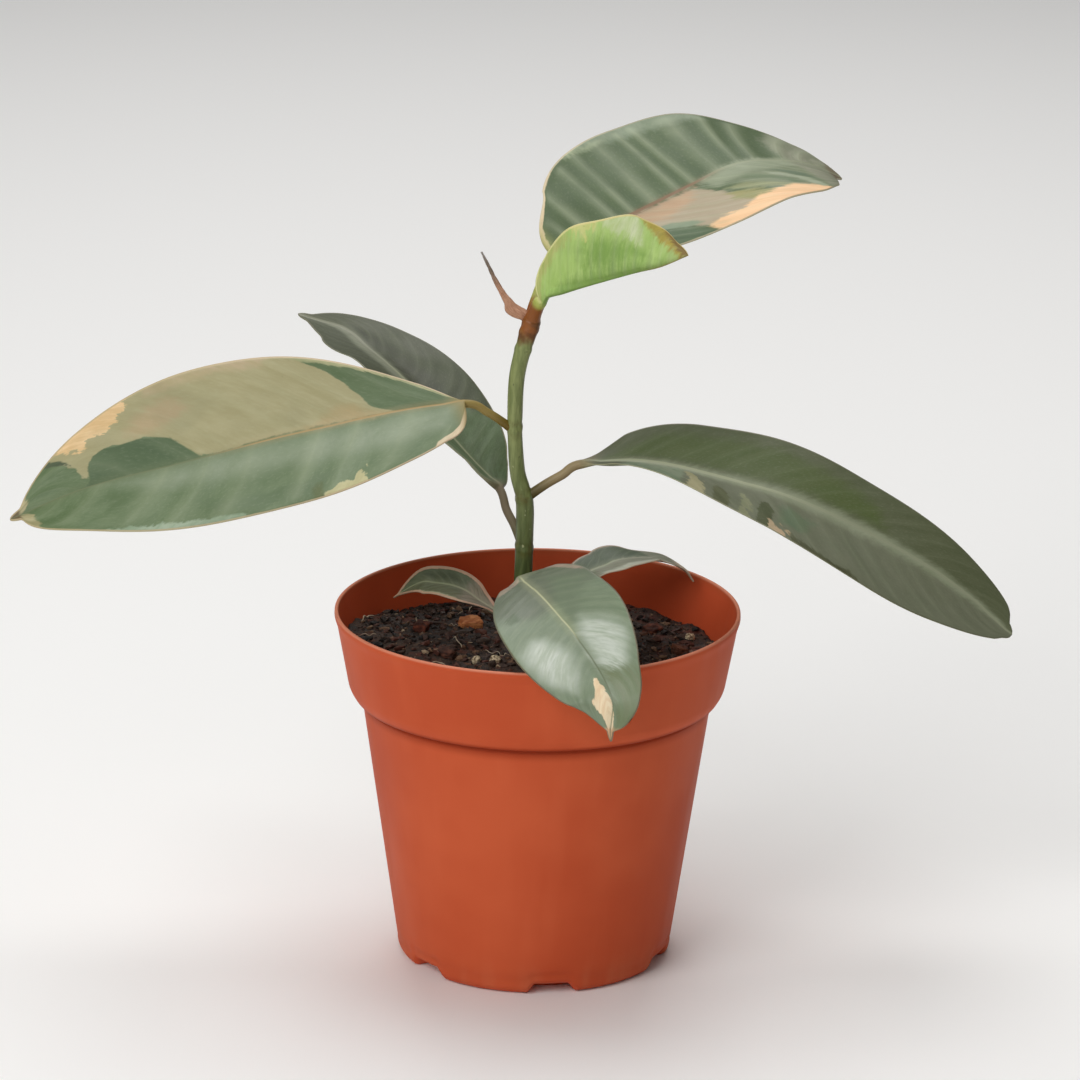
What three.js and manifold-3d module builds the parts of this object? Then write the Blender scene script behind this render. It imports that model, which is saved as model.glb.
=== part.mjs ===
// Potted rubber plant: a young variegated rubber fig growing in a round nursery pot.
// Millimetres, +Z up. The origin is the centre of the pot's base, on the ground, and -Y is the front.

import * as THREE from 'three';
import { mergeVertices } from 'three/addons/utils/BufferGeometryUtils.js';
import Module from 'manifold-3d';

const wasm = await Module();
wasm.setup();

// ---------------------------------------------------------------- driving dimensions

const pieceGap = 0.3;            // air left between pieces that rest on each other

const pot = {
  height: 95.5,
  rimRadius: 53.8,               // outside, at the very top
  wall: 1.0,
  rimWall: 1.4,                  // the lip is a little thicker than the wall
  rimChamferWidth: 0.25,
  rimChamferHeight: 0.6,
  lipHeight: 3.5,                // the lip flares out over this height
  lipFlare: 0.7,
  collarHeight: 22,              // from the rim down to the step
  collarFootRadius: 50,          // outside, at the collar's lower edge
  bodyTopRadius: 46.5,           // outside, just under the step
  stepHeight: 1.6,
  stepChamfer: 0.5,              // blunts the collar's lower edge
  baseRadius: 36.3,              // where the body's line would meet the ground
  footRounding: 3,
  floor: 1.2,
  segments: 72,
};

const drain = {
  count: 6,
  firstAzimuth: -81,             // degrees from +X: just right of the front
  width: 26,                     // degrees of arc
  height: 2.8,
  innerRadius: 30,
  holeRadius: 2.2,
  holeCircle: 33,
  holeSides: 16,
};

const mix = {
  level: 83,                     // general level of the potting mix
  slope: 0.012,                  // it falls this much per millimetre towards +X
  heap: 4.2,                     // height of the mound at the left
  heapX: -42,
  heapY: 2,
  heapSpread: 18,
  ripple: 0.45,
  rippleWaves: [0.31, 0.27, 0.17, 0.23],   // radians per millimetre, along X and Y in turn
  rings: 6,
};

// Stem axis from its foot in the mix to the growing tip, as [x, z, radius]; it stands in the plane y = 0.
const stemStations = [
  [-4.3, 55.5, 1.0],
  [-4.1, 69, 2.2],
  [-4.0, 85, 2.5],
  [-3.9, 104, 2.4],
  [-3.7, 115, 2.35],
  [-3.8, 125.5, 2.35],
  [-5.7, 133, 2.05],
  [-6.5, 143, 1.95],
  [-6.5, 152, 2.0],
  [-6.2, 158.5, 2.05],
  [-5.2, 164, 2.1],
  [-3.8, 169.5, 2.25],
  [-2.5, 174, 2.5],
  [-1.7, 177, 2.2],
];

// Every leaf grows along its petiole, which starts inside the stem, and then along its midrib.
// Pairs give the left and the right half of the blade, seen from above and from the petiole.
//   halfWidth  widest half width of the blade
//   widestAt   share of the blade's length where it is widest
//   base, tip  outline exponents: small is blunt and round, large is drawn out
//   roll       turn of the blade about its midrib at the base, middle and tip, in degrees
//   fold       rise of each half from the midrib at the base and tip, in degrees
const leaves = {
  leaf_left_large: {
    petiole: [[-6.6, 0, 144.5], [-13.5, -1, 149.5]],
    midrib: [[-20, -3, 152.5], [-39, -9, 151.5], [-64, -15, 147.5], [-90.5, -20, 141.5], [-117, -23, 134],
      [-137, -25, 126]],
    petioleRadius: 1.4,
    halfWidth: [27, 25.5], widestAt: [0.45, 0.48], base: [0.33, 0.8], tip: [0.48, 0.69],
    roll: [21, 35, 32], fold: [9, 12],
    colour: 0x8d9a78,
  },
  leaf_back_left: {
    petiole: [[-3.8, 0, 112], [-6.4, 3, 117.5], [-8.6, 6, 121]],
    midrib: [[-10.5, 10, 125.5], [-16.5, 17, 130], [-21.5, 24, 134], [-28.5, 36, 140], [-36.5, 52, 145.5],
      [-47.5, 67, 149], [-54.5, 76, 150.5], [-67.5, 88, 152]],
    petioleRadius: 1.1,
    halfWidth: [19.6, 18.7], widestAt: [0.44, 0.36], base: [0.6, 0.58], tip: [0.93, 0.73],
    roll: [-20, -14, 27], fold: [12, 7],
    colour: 0x65705f,
  },
  leaf_right: {
    petiole: [[-4.4, 0, 125.5], [-1.6, 0, 127.5], [1.9, 0, 130], [6, 0, 132.5]],
    midrib: [[11, 0, 135.5], [25.5, -3, 137], [41, -6, 135], [62, -10, 131], [82.5, -13, 122.5],
      [103.5, -15, 110.5], [124.5, -16, 94]],
    petioleRadius: 1.2,
    halfWidth: [18.2, 23.4], widestAt: [0.34, 0.51], base: [0.6, 0.79], tip: [0.46, 0.55],
    roll: [-4, -21, -32], fold: [22, 6],
    colour: 0x66725a,
  },
  leaf_top: {
    petiole: [[-3.4, 0.5, 171.5], [-1.6, 4, 178.5]],
    midrib: [[3.5, 8, 189], [12.5, 13.5, 193], [24.5, 21, 198.5], [38, 30, 203.5], [52, 39.5, 208.5],
      [65, 47.5, 208.5], [73, 52.5, 205.5], [79.5, 56, 199]],
    petioleRadius: 1.4,
    halfWidth: [31.5, 27], widestAt: [0.43, 0.62], base: [0.52, 0.54], tip: [0.76, 0.6],
    roll: [-31, -14, -9], fold: [10, 2],
    colour: 0x7f9778,
  },
  leaf_new: {
    petiole: [[-2.5, 0, 174.2], [-1.6, -1.2, 177]],
    midrib: [[-0.5, -3, 178.5], [3, -6, 180], [9, -9, 184], [15.5, -12, 188], [24, -15, 192],
      [31.5, -17, 195.5], [37, -18, 198]],
    petioleRadius: 1.7,
    halfWidth: [16, 18], widestAt: [0.45, 0.55], base: [0.6, 0.74], tip: [0.6, 0.38],
    roll: [3, 8, 28], fold: [64, 66],
    colour: 0x9cc06a,
  },
  leaf_front: {
    petiole: [[-4, 0, 88], [-4.8, -4, 96], [-4.9, -7, 102]],
    midrib: [[-4.5, -10, 106.5], [-1.5, -22, 107], [2, -32, 106.5], [8.5, -48, 104.5], [15, -61, 97.5],
      [18, -66, 92], [19, -68, 82.5]],
    petioleRadius: 1.2,
    halfWidth: [16.3, 16.3], widestAt: [0.43, 0.53], base: [0.41, 0.58], tip: [0.48, 0.74],
    roll: [-25, -23, -45], fold: [11, 4],
    colour: 0x7d8f7e,
  },
  leaf_small_left: {
    petiole: [[-4, 0, 85.8], [-6.9, -0.2, 89.5]],
    midrib: [[-10, 0, 93.5], [-15.5, 3, 96.5], [-19, 5, 98.5], [-23, 7, 99.5], [-27.5, 9, 99.5],
      [-31.5, 10, 99], [-38.5, 11, 94.5]],
    petioleRadius: 1.0,
    halfWidth: [8.8, 5.5], widestAt: [0.49, 0.54], base: [0.72, 0.76], tip: [0.81, 0.77],
    roll: [-8, 20, 14], fold: [18, 18],
    colour: 0x7a8474,
  },
  leaf_small_right: {
    petiole: [[-4, 0, 86], [-1.2, 3.5, 88.6], [2, 8, 91.8]],
    midrib: [[6.5, 12, 96.5], [14, 16, 100.5], [18, 18, 101.5], [21.5, 20, 102.5], [26, 22, 102.5],
      [30.5, 24, 102], [35, 25, 101], [39.5, 25.5, 98.5], [42, 25, 95.5]],
    petioleRadius: 1.0,
    halfWidth: [9, 9.3], widestAt: [0.46, 0.51], base: [0.65, 0.72], tip: [0.83, 0.8],
    roll: [-13, 2, 8], fold: [16, 3],
    colour: 0x8a9683,
  },
};

const blade = {
  halfThickness: 0.45,
  tipHalfThickness: 0.3,
  pointHalfWidth: 0.5,           // the drip tip is this wide where it ends
  dripLength: 0.035,             // share of the blade's length taken by the drip tip
  dripWidth: 0.07,               // its width where it starts, as a share of the half width
  creaseShare: 0.12,             // the fold turns over this share of the half width
  foldRamp: 0.08,                // the blade opens into its fold over this share of its length
  thickBaseFalloff: 8,
  stations: 22,
  sectionPoints: 16,
};

// The dried stipule that the newest leaf left behind: axis [x, y, z], half width and half thickness.
const stipuleStations = [
  { at: [-3.2, 0, 173.6], halfWidth: 1.2, halfThickness: 0.7 },
  { at: [-5.3, 0, 176.1], halfWidth: 1.3, halfThickness: 0.5 },
  { at: [-7.7, 0, 177.6], halfWidth: 1.3, halfThickness: 0.4 },
  { at: [-10, 0, 180.6], halfWidth: 0.9, halfThickness: 0.35 },
  { at: [-12.1, 0, 184.6], halfWidth: 0.6, halfThickness: 0.3 },
  { at: [-13.7, 0, 188.3], halfWidth: 0.45, halfThickness: 0.3 },
  { at: [-15.9, 0, 193.1], halfWidth: 0.25, halfThickness: 0.25 },
];

// Larger lumps that lie in the surface of the mix: [x, y, length, width, height, heading in degrees].
const lumpTilt = 0.4;            // radians, so that no lump stands on a corner
const barkChips = [
  [-18, 20, 7.5, 5.5, 4, 20],
  [-31, 9, 6, 4.5, 3.5, 75],
  [-24, -8, 6.5, 4, 3.5, -30],
  [31, 21, 7, 4.5, 3.5, 50],
  [38, 5, 6, 4.5, 3.5, 110],
  [7, 35, 7, 5, 4, -15],
];
const pumiceGrains = [
  [-11, -12, 3.6, 3, 2.8, 10],
  [-16, -10.5, 3, 2.6, 2.6, 60],
  [41, 16, 3.2, 2.8, 2.6, 35],
];

// ---------------------------------------------------------------- solids

function toSolid(geometry) {
  const bare = geometry.clone();
  bare.deleteAttribute('normal');
  bare.deleteAttribute('uv');
  const merged = mergeVertices(bare, 1e-4);
  return new wasm.Manifold(new wasm.Mesh({
    numProp: 3,
    vertProperties: new Float32Array(merged.attributes.position.array),
    triVerts: new Uint32Array(merged.index.array),
  }));
}

function toGeometry(solid) {
  const mesh = solid.getMesh();
  const geometry = new THREE.BufferGeometry();
  geometry.setAttribute('position', new THREE.BufferAttribute(mesh.vertProperties, 3));
  geometry.setIndex(new THREE.BufferAttribute(mesh.triVerts, 1));
  return geometry;
}

// Skins a row of rings, which all turn clockwise seen along the row, and closes both ends.
function loft(rings) {
  const count = rings[0].length;
  const points = rings.flat();
  const faces = [];
  for (let i = 0; i < rings.length - 1; i++) {
    for (let j = 0; j < count; j++) {
      const here = i * count + j;
      const next = i * count + (j + 1) % count;
      faces.push(here, here + count, next + count, here, next + count, next);
    }
  }
  const firstCentre = points.length;
  const lastCentre = firstCentre + 1;
  const lastRing = (rings.length - 1) * count;
  for (const ring of [rings[0], rings[rings.length - 1]]) {
    const centre = new THREE.Vector3();
    ring.forEach((point) => centre.addScaledVector(point, 1 / count));
    points.push(centre);
  }
  for (let j = 0; j < count; j++) {
    const next = (j + 1) % count;
    faces.push(firstCentre, j, next, lastCentre, lastRing + next, lastRing + j);
  }
  const geometry = new THREE.BufferGeometry().setFromPoints(points);
  geometry.setIndex(faces);
  return geometry;
}

// One cross-section: an ellipse whose two halves are folded up about its middle.
function foldedSection(centre, forward, across, widths, halfThickness, fold, count) {
  const up = new THREE.Vector3().crossVectors(across, forward);
  const crease = blade.creaseShare;
  const bendRadius = fold > 0 ? crease / fold : 0;
  const ring = [];
  for (let j = 0; j < count; j++) {
    const angle = 2 * Math.PI * j / count;
    const share = Math.cos(angle);
    const side = Math.sign(share);
    const width = share < 0 ? widths[0] : widths[1];
    const turn = fold * Math.min(Math.abs(share) / crease, 1);
    const flat = fold > 0 ? Math.max(Math.abs(share) - crease, 0) : Math.abs(share);
    const out = width * (bendRadius * Math.sin(turn) + flat * Math.cos(turn));
    const rise = width * (bendRadius * (1 - Math.cos(turn)) + flat * Math.sin(turn));
    const lift = halfThickness * Math.sin(angle);
    ring.push(centre.clone()
      .addScaledVector(across, side * (out - lift * Math.sin(turn)))
      .addScaledVector(up, rise + lift * Math.cos(turn)));
  }
  return ring;
}

function revolve(profile, segments) {
  const points = profile.map(([radius, height]) => new THREE.Vector2(radius, height));
  return new THREE.LatheGeometry(points, segments).rotateX(Math.PI / 2);
}

// A block shaped like a slice of a ring, centred on the given azimuth.
function ringSector(innerRadius, outerRadius, low, high, azimuth, width) {
  const start = THREE.MathUtils.degToRad(azimuth - width / 2);
  const end = THREE.MathUtils.degToRad(azimuth + width / 2);
  const shape = new THREE.Shape();
  shape.absarc(0, 0, outerRadius, start, end, false);
  shape.absarc(0, 0, innerRadius, end, start, true);
  const block = new THREE.ExtrudeGeometry(shape, { depth: high - low, bevelEnabled: false, curveSegments: 5 });
  return block.translate(0, 0, low);
}

// ---------------------------------------------------------------- pot

const stepTop = pot.height - pot.collarHeight;
const stepBottom = stepTop - pot.stepHeight;
const bodySlope = (pot.bodyTopRadius - pot.baseRadius) / stepBottom;
const bodyRadiusAt = (height) => pot.baseRadius + bodySlope * height;
const lipBottom = pot.height - pot.lipHeight;
const lipFootRadius = pot.rimRadius - pot.lipFlare;

// Quarter round at the foot of a wall, from the flat floor up to the wall.
function footArc(wallRadius, floorHeight, rounding) {
  return [0, 1, 2, 3].map((step) => {
    const angle = step / 3 * Math.PI / 2;
    return [
      wallRadius - rounding + rounding * Math.sin(angle),
      floorHeight + rounding - rounding * Math.cos(angle),
    ];
  });
}

const outsideProfile = [
  ...footArc(bodyRadiusAt(pot.footRounding), 0, pot.footRounding),
  [pot.bodyTopRadius, stepBottom],
  [pot.collarFootRadius - pot.stepChamfer, stepTop - pot.stepChamfer],
  [pot.collarFootRadius, stepTop + pot.stepChamfer],
  [lipFootRadius, lipBottom],
  [pot.rimRadius, pot.height - pot.rimChamferHeight],
  [pot.rimRadius - pot.rimChamferWidth, pot.height],
];

// The inside, top to bottom, moved in by `clearance` for whatever fills the pot.
function insideProfile(clearance) {
  const wall = pot.wall + clearance;
  const floor = pot.floor + clearance;
  return [
    [pot.rimRadius - pot.rimWall - clearance, pot.height],
    [lipFootRadius - wall, lipBottom],
    [pot.collarFootRadius - wall, stepTop + pot.stepChamfer + clearance],
    [pot.bodyTopRadius - wall, stepBottom + clearance],
    ...footArc(bodyRadiusAt(pot.footRounding) - wall, floor, pot.footRounding - pot.wall).reverse(),
  ];
}

const drainAzimuths = Array.from({ length: drain.count }, (_, i) => drain.firstAzimuth + i * 360 / drain.count);

// The six raised hoods inside the base, each over a recess that is open to the outside.
function drainHoods(clearance) {
  const skin = pot.floor + clearance;
  const sideAngle = THREE.MathUtils.radToDeg(skin / drain.innerRadius);
  return drainAzimuths.map((azimuth) => toSolid(ringSector(
    drain.innerRadius - skin, pot.bodyTopRadius, 0, drain.height + skin, azimuth, drain.width + 2 * sideAngle,
  )));
}

function makePot() {
  const envelope = toSolid(revolve([[0, 0], ...outsideProfile, [0, pot.height]], pot.segments));
  let body = toSolid(revolve([[0, 0], ...outsideProfile, ...insideProfile(0), [0, pot.floor]], pot.segments));
  for (const hood of drainHoods(0)) {
    body = body.add(hood.intersect(envelope));
  }
  for (const azimuth of drainAzimuths) {
    const angle = THREE.MathUtils.degToRad(azimuth);
    const recess = ringSector(drain.innerRadius, pot.rimRadius, -pot.floor, drain.height, azimuth, drain.width);
    const hole = new THREE.CylinderGeometry(drain.holeRadius, drain.holeRadius, 4 * pot.floor, drain.holeSides)
      .rotateX(Math.PI / 2)
      .translate(drain.holeCircle * Math.cos(angle), drain.holeCircle * Math.sin(angle), drain.height);
    body = body.subtract(toSolid(recess)).subtract(toSolid(hole));
  }
  return body;
}

// ---------------------------------------------------------------- plant

function stemCurve() {
  const points = stemStations.map(([x, z]) => new THREE.Vector3(x, 0, z));
  return new THREE.CatmullRomCurve3(points, false, 'catmullrom');
}

// The stem, thickened all round and lengthened at both ends by `clearance`.
function makeStem(clearance) {
  const curve = stemCurve();
  const spans = stemStations.length - 1;
  const stepsPerSpan = 3;
  const steps = stepsPerSpan * spans;
  const rings = [];
  for (let i = 0; i <= steps; i++) {
    const t = i / steps;
    const span = Math.min(Math.floor(t * spans), spans - 1);
    const share = t * spans - span;
    const radius = THREE.MathUtils.lerp(stemStations[span][2], stemStations[span + 1][2], share) + clearance;
    const forward = curve.getTangent(t);
    const across = new THREE.Vector3(0, 1, 0).cross(forward).normalize();
    const ends = i === 0 ? -clearance : (i === steps ? clearance : 0);
    const centre = curve.getPoint(t).addScaledVector(forward, ends);
    rings.push(foldedSection(centre, forward, across, [radius, radius], radius, 0, blade.sectionPoints));
  }
  return toSolid(loft(rings));
}

// Half width of one half of a blade, as a share of its widest half width.
function outline(u, widestAt, base, tip) {
  const end = 1 - blade.dripLength;
  if (u < widestAt) return Math.sin(Math.PI / 2 * u / widestAt) ** base;
  const body = Math.max(Math.cos(Math.PI / 2 * Math.min((u - widestAt) / (end - widestAt), 1)), 0) ** tip;
  const drip = blade.dripWidth * Math.min((1 - u) / blade.dripLength, 1);
  return Math.max(body, drip);
}

function rollAt(u, [atBase, atMiddle, atTip]) {
  const roll = atBase * (1 - u) * (1 - 2 * u) + atMiddle * 4 * u * (1 - u) + atTip * u * (2 * u - 1);
  return THREE.MathUtils.degToRad(roll);
}

function makeLeaf(leaf) {
  const points = [...leaf.petiole, ...leaf.midrib].map((point) => new THREE.Vector3(...point));
  const curve = new THREE.CatmullRomCurve3(points, false, 'catmullrom');
  const samplesPerSpan = 40;
  curve.arcLengthDivisions = samplesPerSpan * (points.length - 1);
  const lengths = curve.getLengths();
  const bladeStart = lengths[samplesPerSpan * leaf.petiole.length] / lengths[lengths.length - 1];

  const petioleSteps = 2 * leaf.petiole.length;
  const stations = [];
  for (let i = 0; i < petioleSteps; i++) {
    stations.push({ s: bladeStart * i / petioleSteps, u: 0 });
  }
  for (let i = 0; i <= blade.stations; i++) {
    const u = (1 - Math.cos(Math.PI * i / blade.stations)) / 2;
    stations.push({ s: bladeStart + (1 - bladeStart) * u, u });
  }

  const rings = stations.map(({ s, u }) => {
    const forward = curve.getTangentAt(s);
    const level = new THREE.Vector3().crossVectors(forward, new THREE.Vector3(0, 0, 1)).normalize();
    const up = new THREE.Vector3().crossVectors(level, forward);
    const roll = rollAt(u, leaf.roll);
    const across = level.multiplyScalar(Math.cos(roll)).addScaledVector(up, Math.sin(roll));
    const stalk = leaf.petioleRadius * (1 - u) ** blade.thickBaseFalloff;
    const widths = [0, 1].map((side) => {
      const spread = leaf.halfWidth[side] * outline(u, leaf.widestAt[side], leaf.base[side], leaf.tip[side]);
      return Math.max(spread, stalk, blade.pointHalfWidth);
    });
    const thin = THREE.MathUtils.lerp(blade.halfThickness, blade.tipHalfThickness, u);
    const fold = THREE.MathUtils.lerp(leaf.fold[0], leaf.fold[1], u) * Math.min(u / blade.foldRamp, 1);
    return foldedSection(curve.getPointAt(s), forward, across, widths, Math.max(thin, stalk),
      THREE.MathUtils.degToRad(fold), blade.sectionPoints);
  });
  return toSolid(loft(rings)).subtract(makeStem(pieceGap));
}

function makeStipule() {
  const curve = new THREE.CatmullRomCurve3(
    stipuleStations.map(({ at }) => new THREE.Vector3(...at)), false, 'catmullrom');
  const last = stipuleStations.length - 1;
  const sides = blade.sectionPoints / 2;
  const rings = stipuleStations.map(({ halfWidth, halfThickness }, i) => {
    const centre = curve.getPoint(i / last);
    const forward = curve.getTangent(i / last);
    const across = new THREE.Vector3(0, 1, 0).cross(forward).normalize();
    return foldedSection(centre, forward, across, [halfWidth, halfWidth], halfThickness, 0, sides);
  });
  return toSolid(loft(rings)).subtract(makeStem(pieceGap));
}

// ---------------------------------------------------------------- potting mix

function mixHeight(x, y) {
  const heap = mix.heap * Math.exp(-((x - mix.heapX) ** 2 + (y - mix.heapY) ** 2) / (2 * mix.heapSpread ** 2));
  const [a, b, c, d] = mix.rippleWaves;
  const ripple = mix.ripple * (Math.cos(a * x) * Math.cos(b * y) + Math.sin(c * x - d * y));
  return mix.level - mix.slope * x + heap + ripple;
}

// A lump is a twenty-sided pebble, half sunk in the mix; `clearance` grows it all round.
function makeLump([x, y, length, width, height, heading], clearance) {
  return new THREE.IcosahedronGeometry(1, 0)
    .rotateX(lumpTilt)
    .scale(length / 2 + clearance, width / 2 + clearance, height / 2 + clearance)
    .rotateZ(THREE.MathUtils.degToRad(heading))
    .translate(x, y, mixHeight(x, y));
}

function makeMix() {
  const wallLine = insideProfile(pieceGap).reverse();
  const top = wallLine.findIndex(([, height]) => height > mix.level);
  const [[lowRadius, lowHeight], [highRadius, highHeight]] = [wallLine[top - 1], wallLine[top]];
  const wallRadiusAt = (height) => (
    THREE.MathUtils.mapLinear(height, lowHeight, highHeight, lowRadius, highRadius)
  );
  const circle = (radiusAt, heightAt) => Array.from({ length: pot.segments }, (_, j) => {
    const angle = -2 * Math.PI * j / pot.segments;
    const radius = radiusAt(angle);
    const [x, y] = [radius * Math.cos(angle), radius * Math.sin(angle)];
    return new THREE.Vector3(x, y, heightAt(x, y));
  });
  const rings = wallLine.slice(0, top).map(([radius, height]) => circle(() => radius, () => height));
  const levelRadius = wallRadiusAt(mix.level);
  const edgeRadiusAt = (angle) => (
    wallRadiusAt(mixHeight(levelRadius * Math.cos(angle), levelRadius * Math.sin(angle)))
  );
  for (let i = mix.rings; i > 0; i--) {
    rings.push(circle((angle) => edgeRadiusAt(angle) * i / mix.rings, mixHeight));
  }
  let body = toSolid(loft(rings));
  for (const hood of drainHoods(pieceGap)) body = body.subtract(hood);
  for (const lump of [...barkChips, ...pumiceGrains]) body = body.subtract(toSolid(makeLump(lump, pieceGap)));
  return body.subtract(makeStem(pieceGap));
}

// ---------------------------------------------------------------- the plant in its pot

const plant = new THREE.Group();

function place(name, geometry, color, roughness) {
  const mesh = new THREE.Mesh(geometry, new THREE.MeshStandardMaterial({ color, roughness, metalness: 0 }));
  mesh.name = name;
  plant.add(mesh);
}

place('nursery_pot', toGeometry(makePot()), 0xb9583a, 0.55);
place('potting_mix', toGeometry(makeMix()), 0x35241c, 0.95);
place('main_stem', toGeometry(makeStem(0)), 0x5d7038, 0.6);
for (const [name, leaf] of Object.entries(leaves)) {
  place(name, toGeometry(makeLeaf(leaf)), leaf.colour, 0.4);
}
place('dried_stipule', toGeometry(makeStipule()), 0x9a7458, 0.8);
barkChips.forEach((lump, i) => place(`bark_chip_${i + 1}`, makeLump(lump, 0), 0x7a4026, 0.9));
pumiceGrains.forEach((lump, i) => place(`pumice_grain_${i + 1}`, makeLump(lump, 0), 0xb9aa90, 0.9));

export default plant;
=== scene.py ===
"""A young variegated rubber plant in a round nursery pot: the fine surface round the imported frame.

Lengths are millimetres inside the functions and become metres when a piece is finished.
"""
import math
import random

import bmesh
import bpy
import numpy as np
from mathutils import Matrix, Vector, noise


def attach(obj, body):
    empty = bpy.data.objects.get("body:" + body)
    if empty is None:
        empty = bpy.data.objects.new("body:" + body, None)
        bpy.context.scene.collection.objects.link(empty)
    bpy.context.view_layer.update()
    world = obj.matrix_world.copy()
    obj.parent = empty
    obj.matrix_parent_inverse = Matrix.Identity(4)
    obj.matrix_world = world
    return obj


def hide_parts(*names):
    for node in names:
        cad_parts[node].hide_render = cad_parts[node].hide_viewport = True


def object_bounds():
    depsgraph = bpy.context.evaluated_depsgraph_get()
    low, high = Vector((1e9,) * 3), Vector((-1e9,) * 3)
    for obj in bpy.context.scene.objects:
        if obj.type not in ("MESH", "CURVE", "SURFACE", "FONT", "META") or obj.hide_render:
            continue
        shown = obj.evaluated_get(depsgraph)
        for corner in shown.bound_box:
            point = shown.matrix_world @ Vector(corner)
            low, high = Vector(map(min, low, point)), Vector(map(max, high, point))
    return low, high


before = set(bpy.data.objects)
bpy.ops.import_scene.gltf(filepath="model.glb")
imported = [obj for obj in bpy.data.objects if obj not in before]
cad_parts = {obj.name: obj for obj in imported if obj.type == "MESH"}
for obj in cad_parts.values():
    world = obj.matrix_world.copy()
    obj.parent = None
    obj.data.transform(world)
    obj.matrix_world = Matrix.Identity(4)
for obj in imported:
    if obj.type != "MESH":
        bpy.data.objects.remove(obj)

CAD_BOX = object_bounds()
MM = 0.001
UP = np.array([0.0, 0.0, 1.0])
REARWARD = np.array([0.0, 1.0, 0.0])


# ---------------------------------------------------------------- colours

def paint(red, green, blue):
    """A display colour, 0 to 255 a channel, as the linear colour that shaders take."""
    def linear(channel):
        share = channel / 255
        return share / 12.92 if share <= 0.04045 else ((share + 0.055) / 1.055) ** 2.4
    return (linear(red), linear(green), linear(blue), 1.0)


# ---------------------------------------------------------------- shader building

class Shader:
    """One material and the short calls that lay out its nodes. A tuple of three is a display colour."""

    def __init__(self, name, roughness=0.5, specular=0.5):
        self.material = bpy.data.materials.new(name)
        self.material.use_nodes = True
        self.tree = self.material.node_tree
        self.surface = self.tree.nodes["Principled BSDF"]
        self.surface.inputs["Roughness"].default_value = roughness
        self.surface.inputs["Specular IOR Level"].default_value = specular

    def node(self, kind, **settings):
        made = self.tree.nodes.new("ShaderNode" + kind)
        for key, value in settings.items():
            setattr(made, key, value)
        return made

    def feed(self, socket, value):
        """Links a socket into an input, or sets the input to a plain value or a display colour."""
        if isinstance(value, bpy.types.NodeSocket):
            self.tree.links.new(value, socket)
        elif isinstance(value, tuple):
            socket.default_value = paint(*value)
        else:
            socket.default_value = value

    def attribute(self, name):
        return self.node("Attribute", attribute_name=name).outputs["Fac"]

    def place(self):
        return self.node("TexCoord").outputs["Object"]

    def math(self, operation, first, second=0.0, third=0.0, clamp=False):
        made = self.node("Math", operation=operation, use_clamp=clamp)
        for socket, value in zip(made.inputs, (first, second, third)):
            self.feed(socket, value)
        return made.outputs[0]

    def times(self, first, second):
        return self.math("MULTIPLY", first, second)

    def step(self, value, low, high, to_low=0.0, to_high=1.0):
        """Rises smoothly from to_low to to_high as value goes from low to high."""
        made = self.node("MapRange", interpolation_type="SMOOTHSTEP")
        for socket, number in zip(made.inputs, (value, low, high, to_low, to_high)):
            self.feed(socket, number)
        return made.outputs[0]

    def vector(self, x, y, z=0.0):
        made = self.node("CombineXYZ")
        for socket, value in zip(made.inputs, (x, y, z)):
            self.feed(socket, value)
        return made.outputs[0]

    def stretched(self, vector, scale):
        made = self.node("VectorMath", operation="MULTIPLY")
        self.feed(made.inputs[0], vector)
        made.inputs[1].default_value = scale
        return made.outputs[0]

    def noise(self, vector, scale, detail=3.0, rough=0.55):
        made = self.node("TexNoise")
        self.feed(made.inputs["Vector"], vector)
        made.inputs["Scale"].default_value = scale
        made.inputs["Detail"].default_value = detail
        made.inputs["Roughness"].default_value = rough
        return made.outputs["Fac"]

    def mix(self, factor, first, second):
        made = self.node("Mix", data_type="RGBA")
        self.feed(made.inputs["Factor"], factor)
        self.feed(made.inputs[6], first)
        self.feed(made.inputs[7], second)
        return made.outputs[2]

    def grained(self, grain, first, second):
        """Two colours that follow a noise, with most of each."""
        return self.mix(self.step(grain, 0.35, 0.65), first, second)

    def over(self, colour, coat, cover, strength):
        """The colour under a second one, which lies where cover says and as strongly as strength says."""
        return self.mix(self.times(cover, strength), colour, coat)

    def bump(self, height, depth, strength=1.0, under=None):
        """Raises the surface by height, where 1 is depth in millimetres."""
        made = self.node("Bump")
        made.inputs["Strength"].default_value = strength
        made.inputs["Distance"].default_value = depth * MM
        self.feed(made.inputs["Height"], height)
        if under is not None:
            self.feed(made.inputs["Normal"], under)
        return made.outputs["Normal"]

    def finish(self, colour, roughness=None, normal=None):
        self.feed(self.surface.inputs["Base Color"], colour)
        if roughness is not None:
            self.feed(self.surface.inputs["Roughness"], roughness)
        if normal is not None:
            self.feed(self.surface.inputs["Normal"], normal)
        return self.material


# ---------------------------------------------------------------- pieces

def mesh_from(bm, name):
    mesh = bpy.data.meshes.new(name)
    bm.to_mesh(mesh)
    bm.free()
    return mesh


def add_object(name, data):
    made = bpy.data.objects.new(name, data)
    bpy.context.scene.collection.objects.link(made)
    return made


def finish_piece(bm, name, material, replaces=(), smooth=True, values=None):
    """Turns a bmesh in millimetres into a piece of the object. values holds one number per vertex by name."""
    bmesh.ops.scale(bm, vec=(MM, MM, MM), verts=bm.verts)
    for face in bm.faces:
        face.smooth = smooth
    mesh = mesh_from(bm, name)
    for key, numbers in (values or {}).items():
        layer = mesh.attributes.new(key, "FLOAT", "POINT")
        layer.data.foreach_set("value", np.asarray(numbers, np.float32))
    mesh.materials.append(material)
    piece = add_object(name, mesh)
    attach(piece, "root")
    if replaces:
        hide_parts(*replaces)
    return piece


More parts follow.
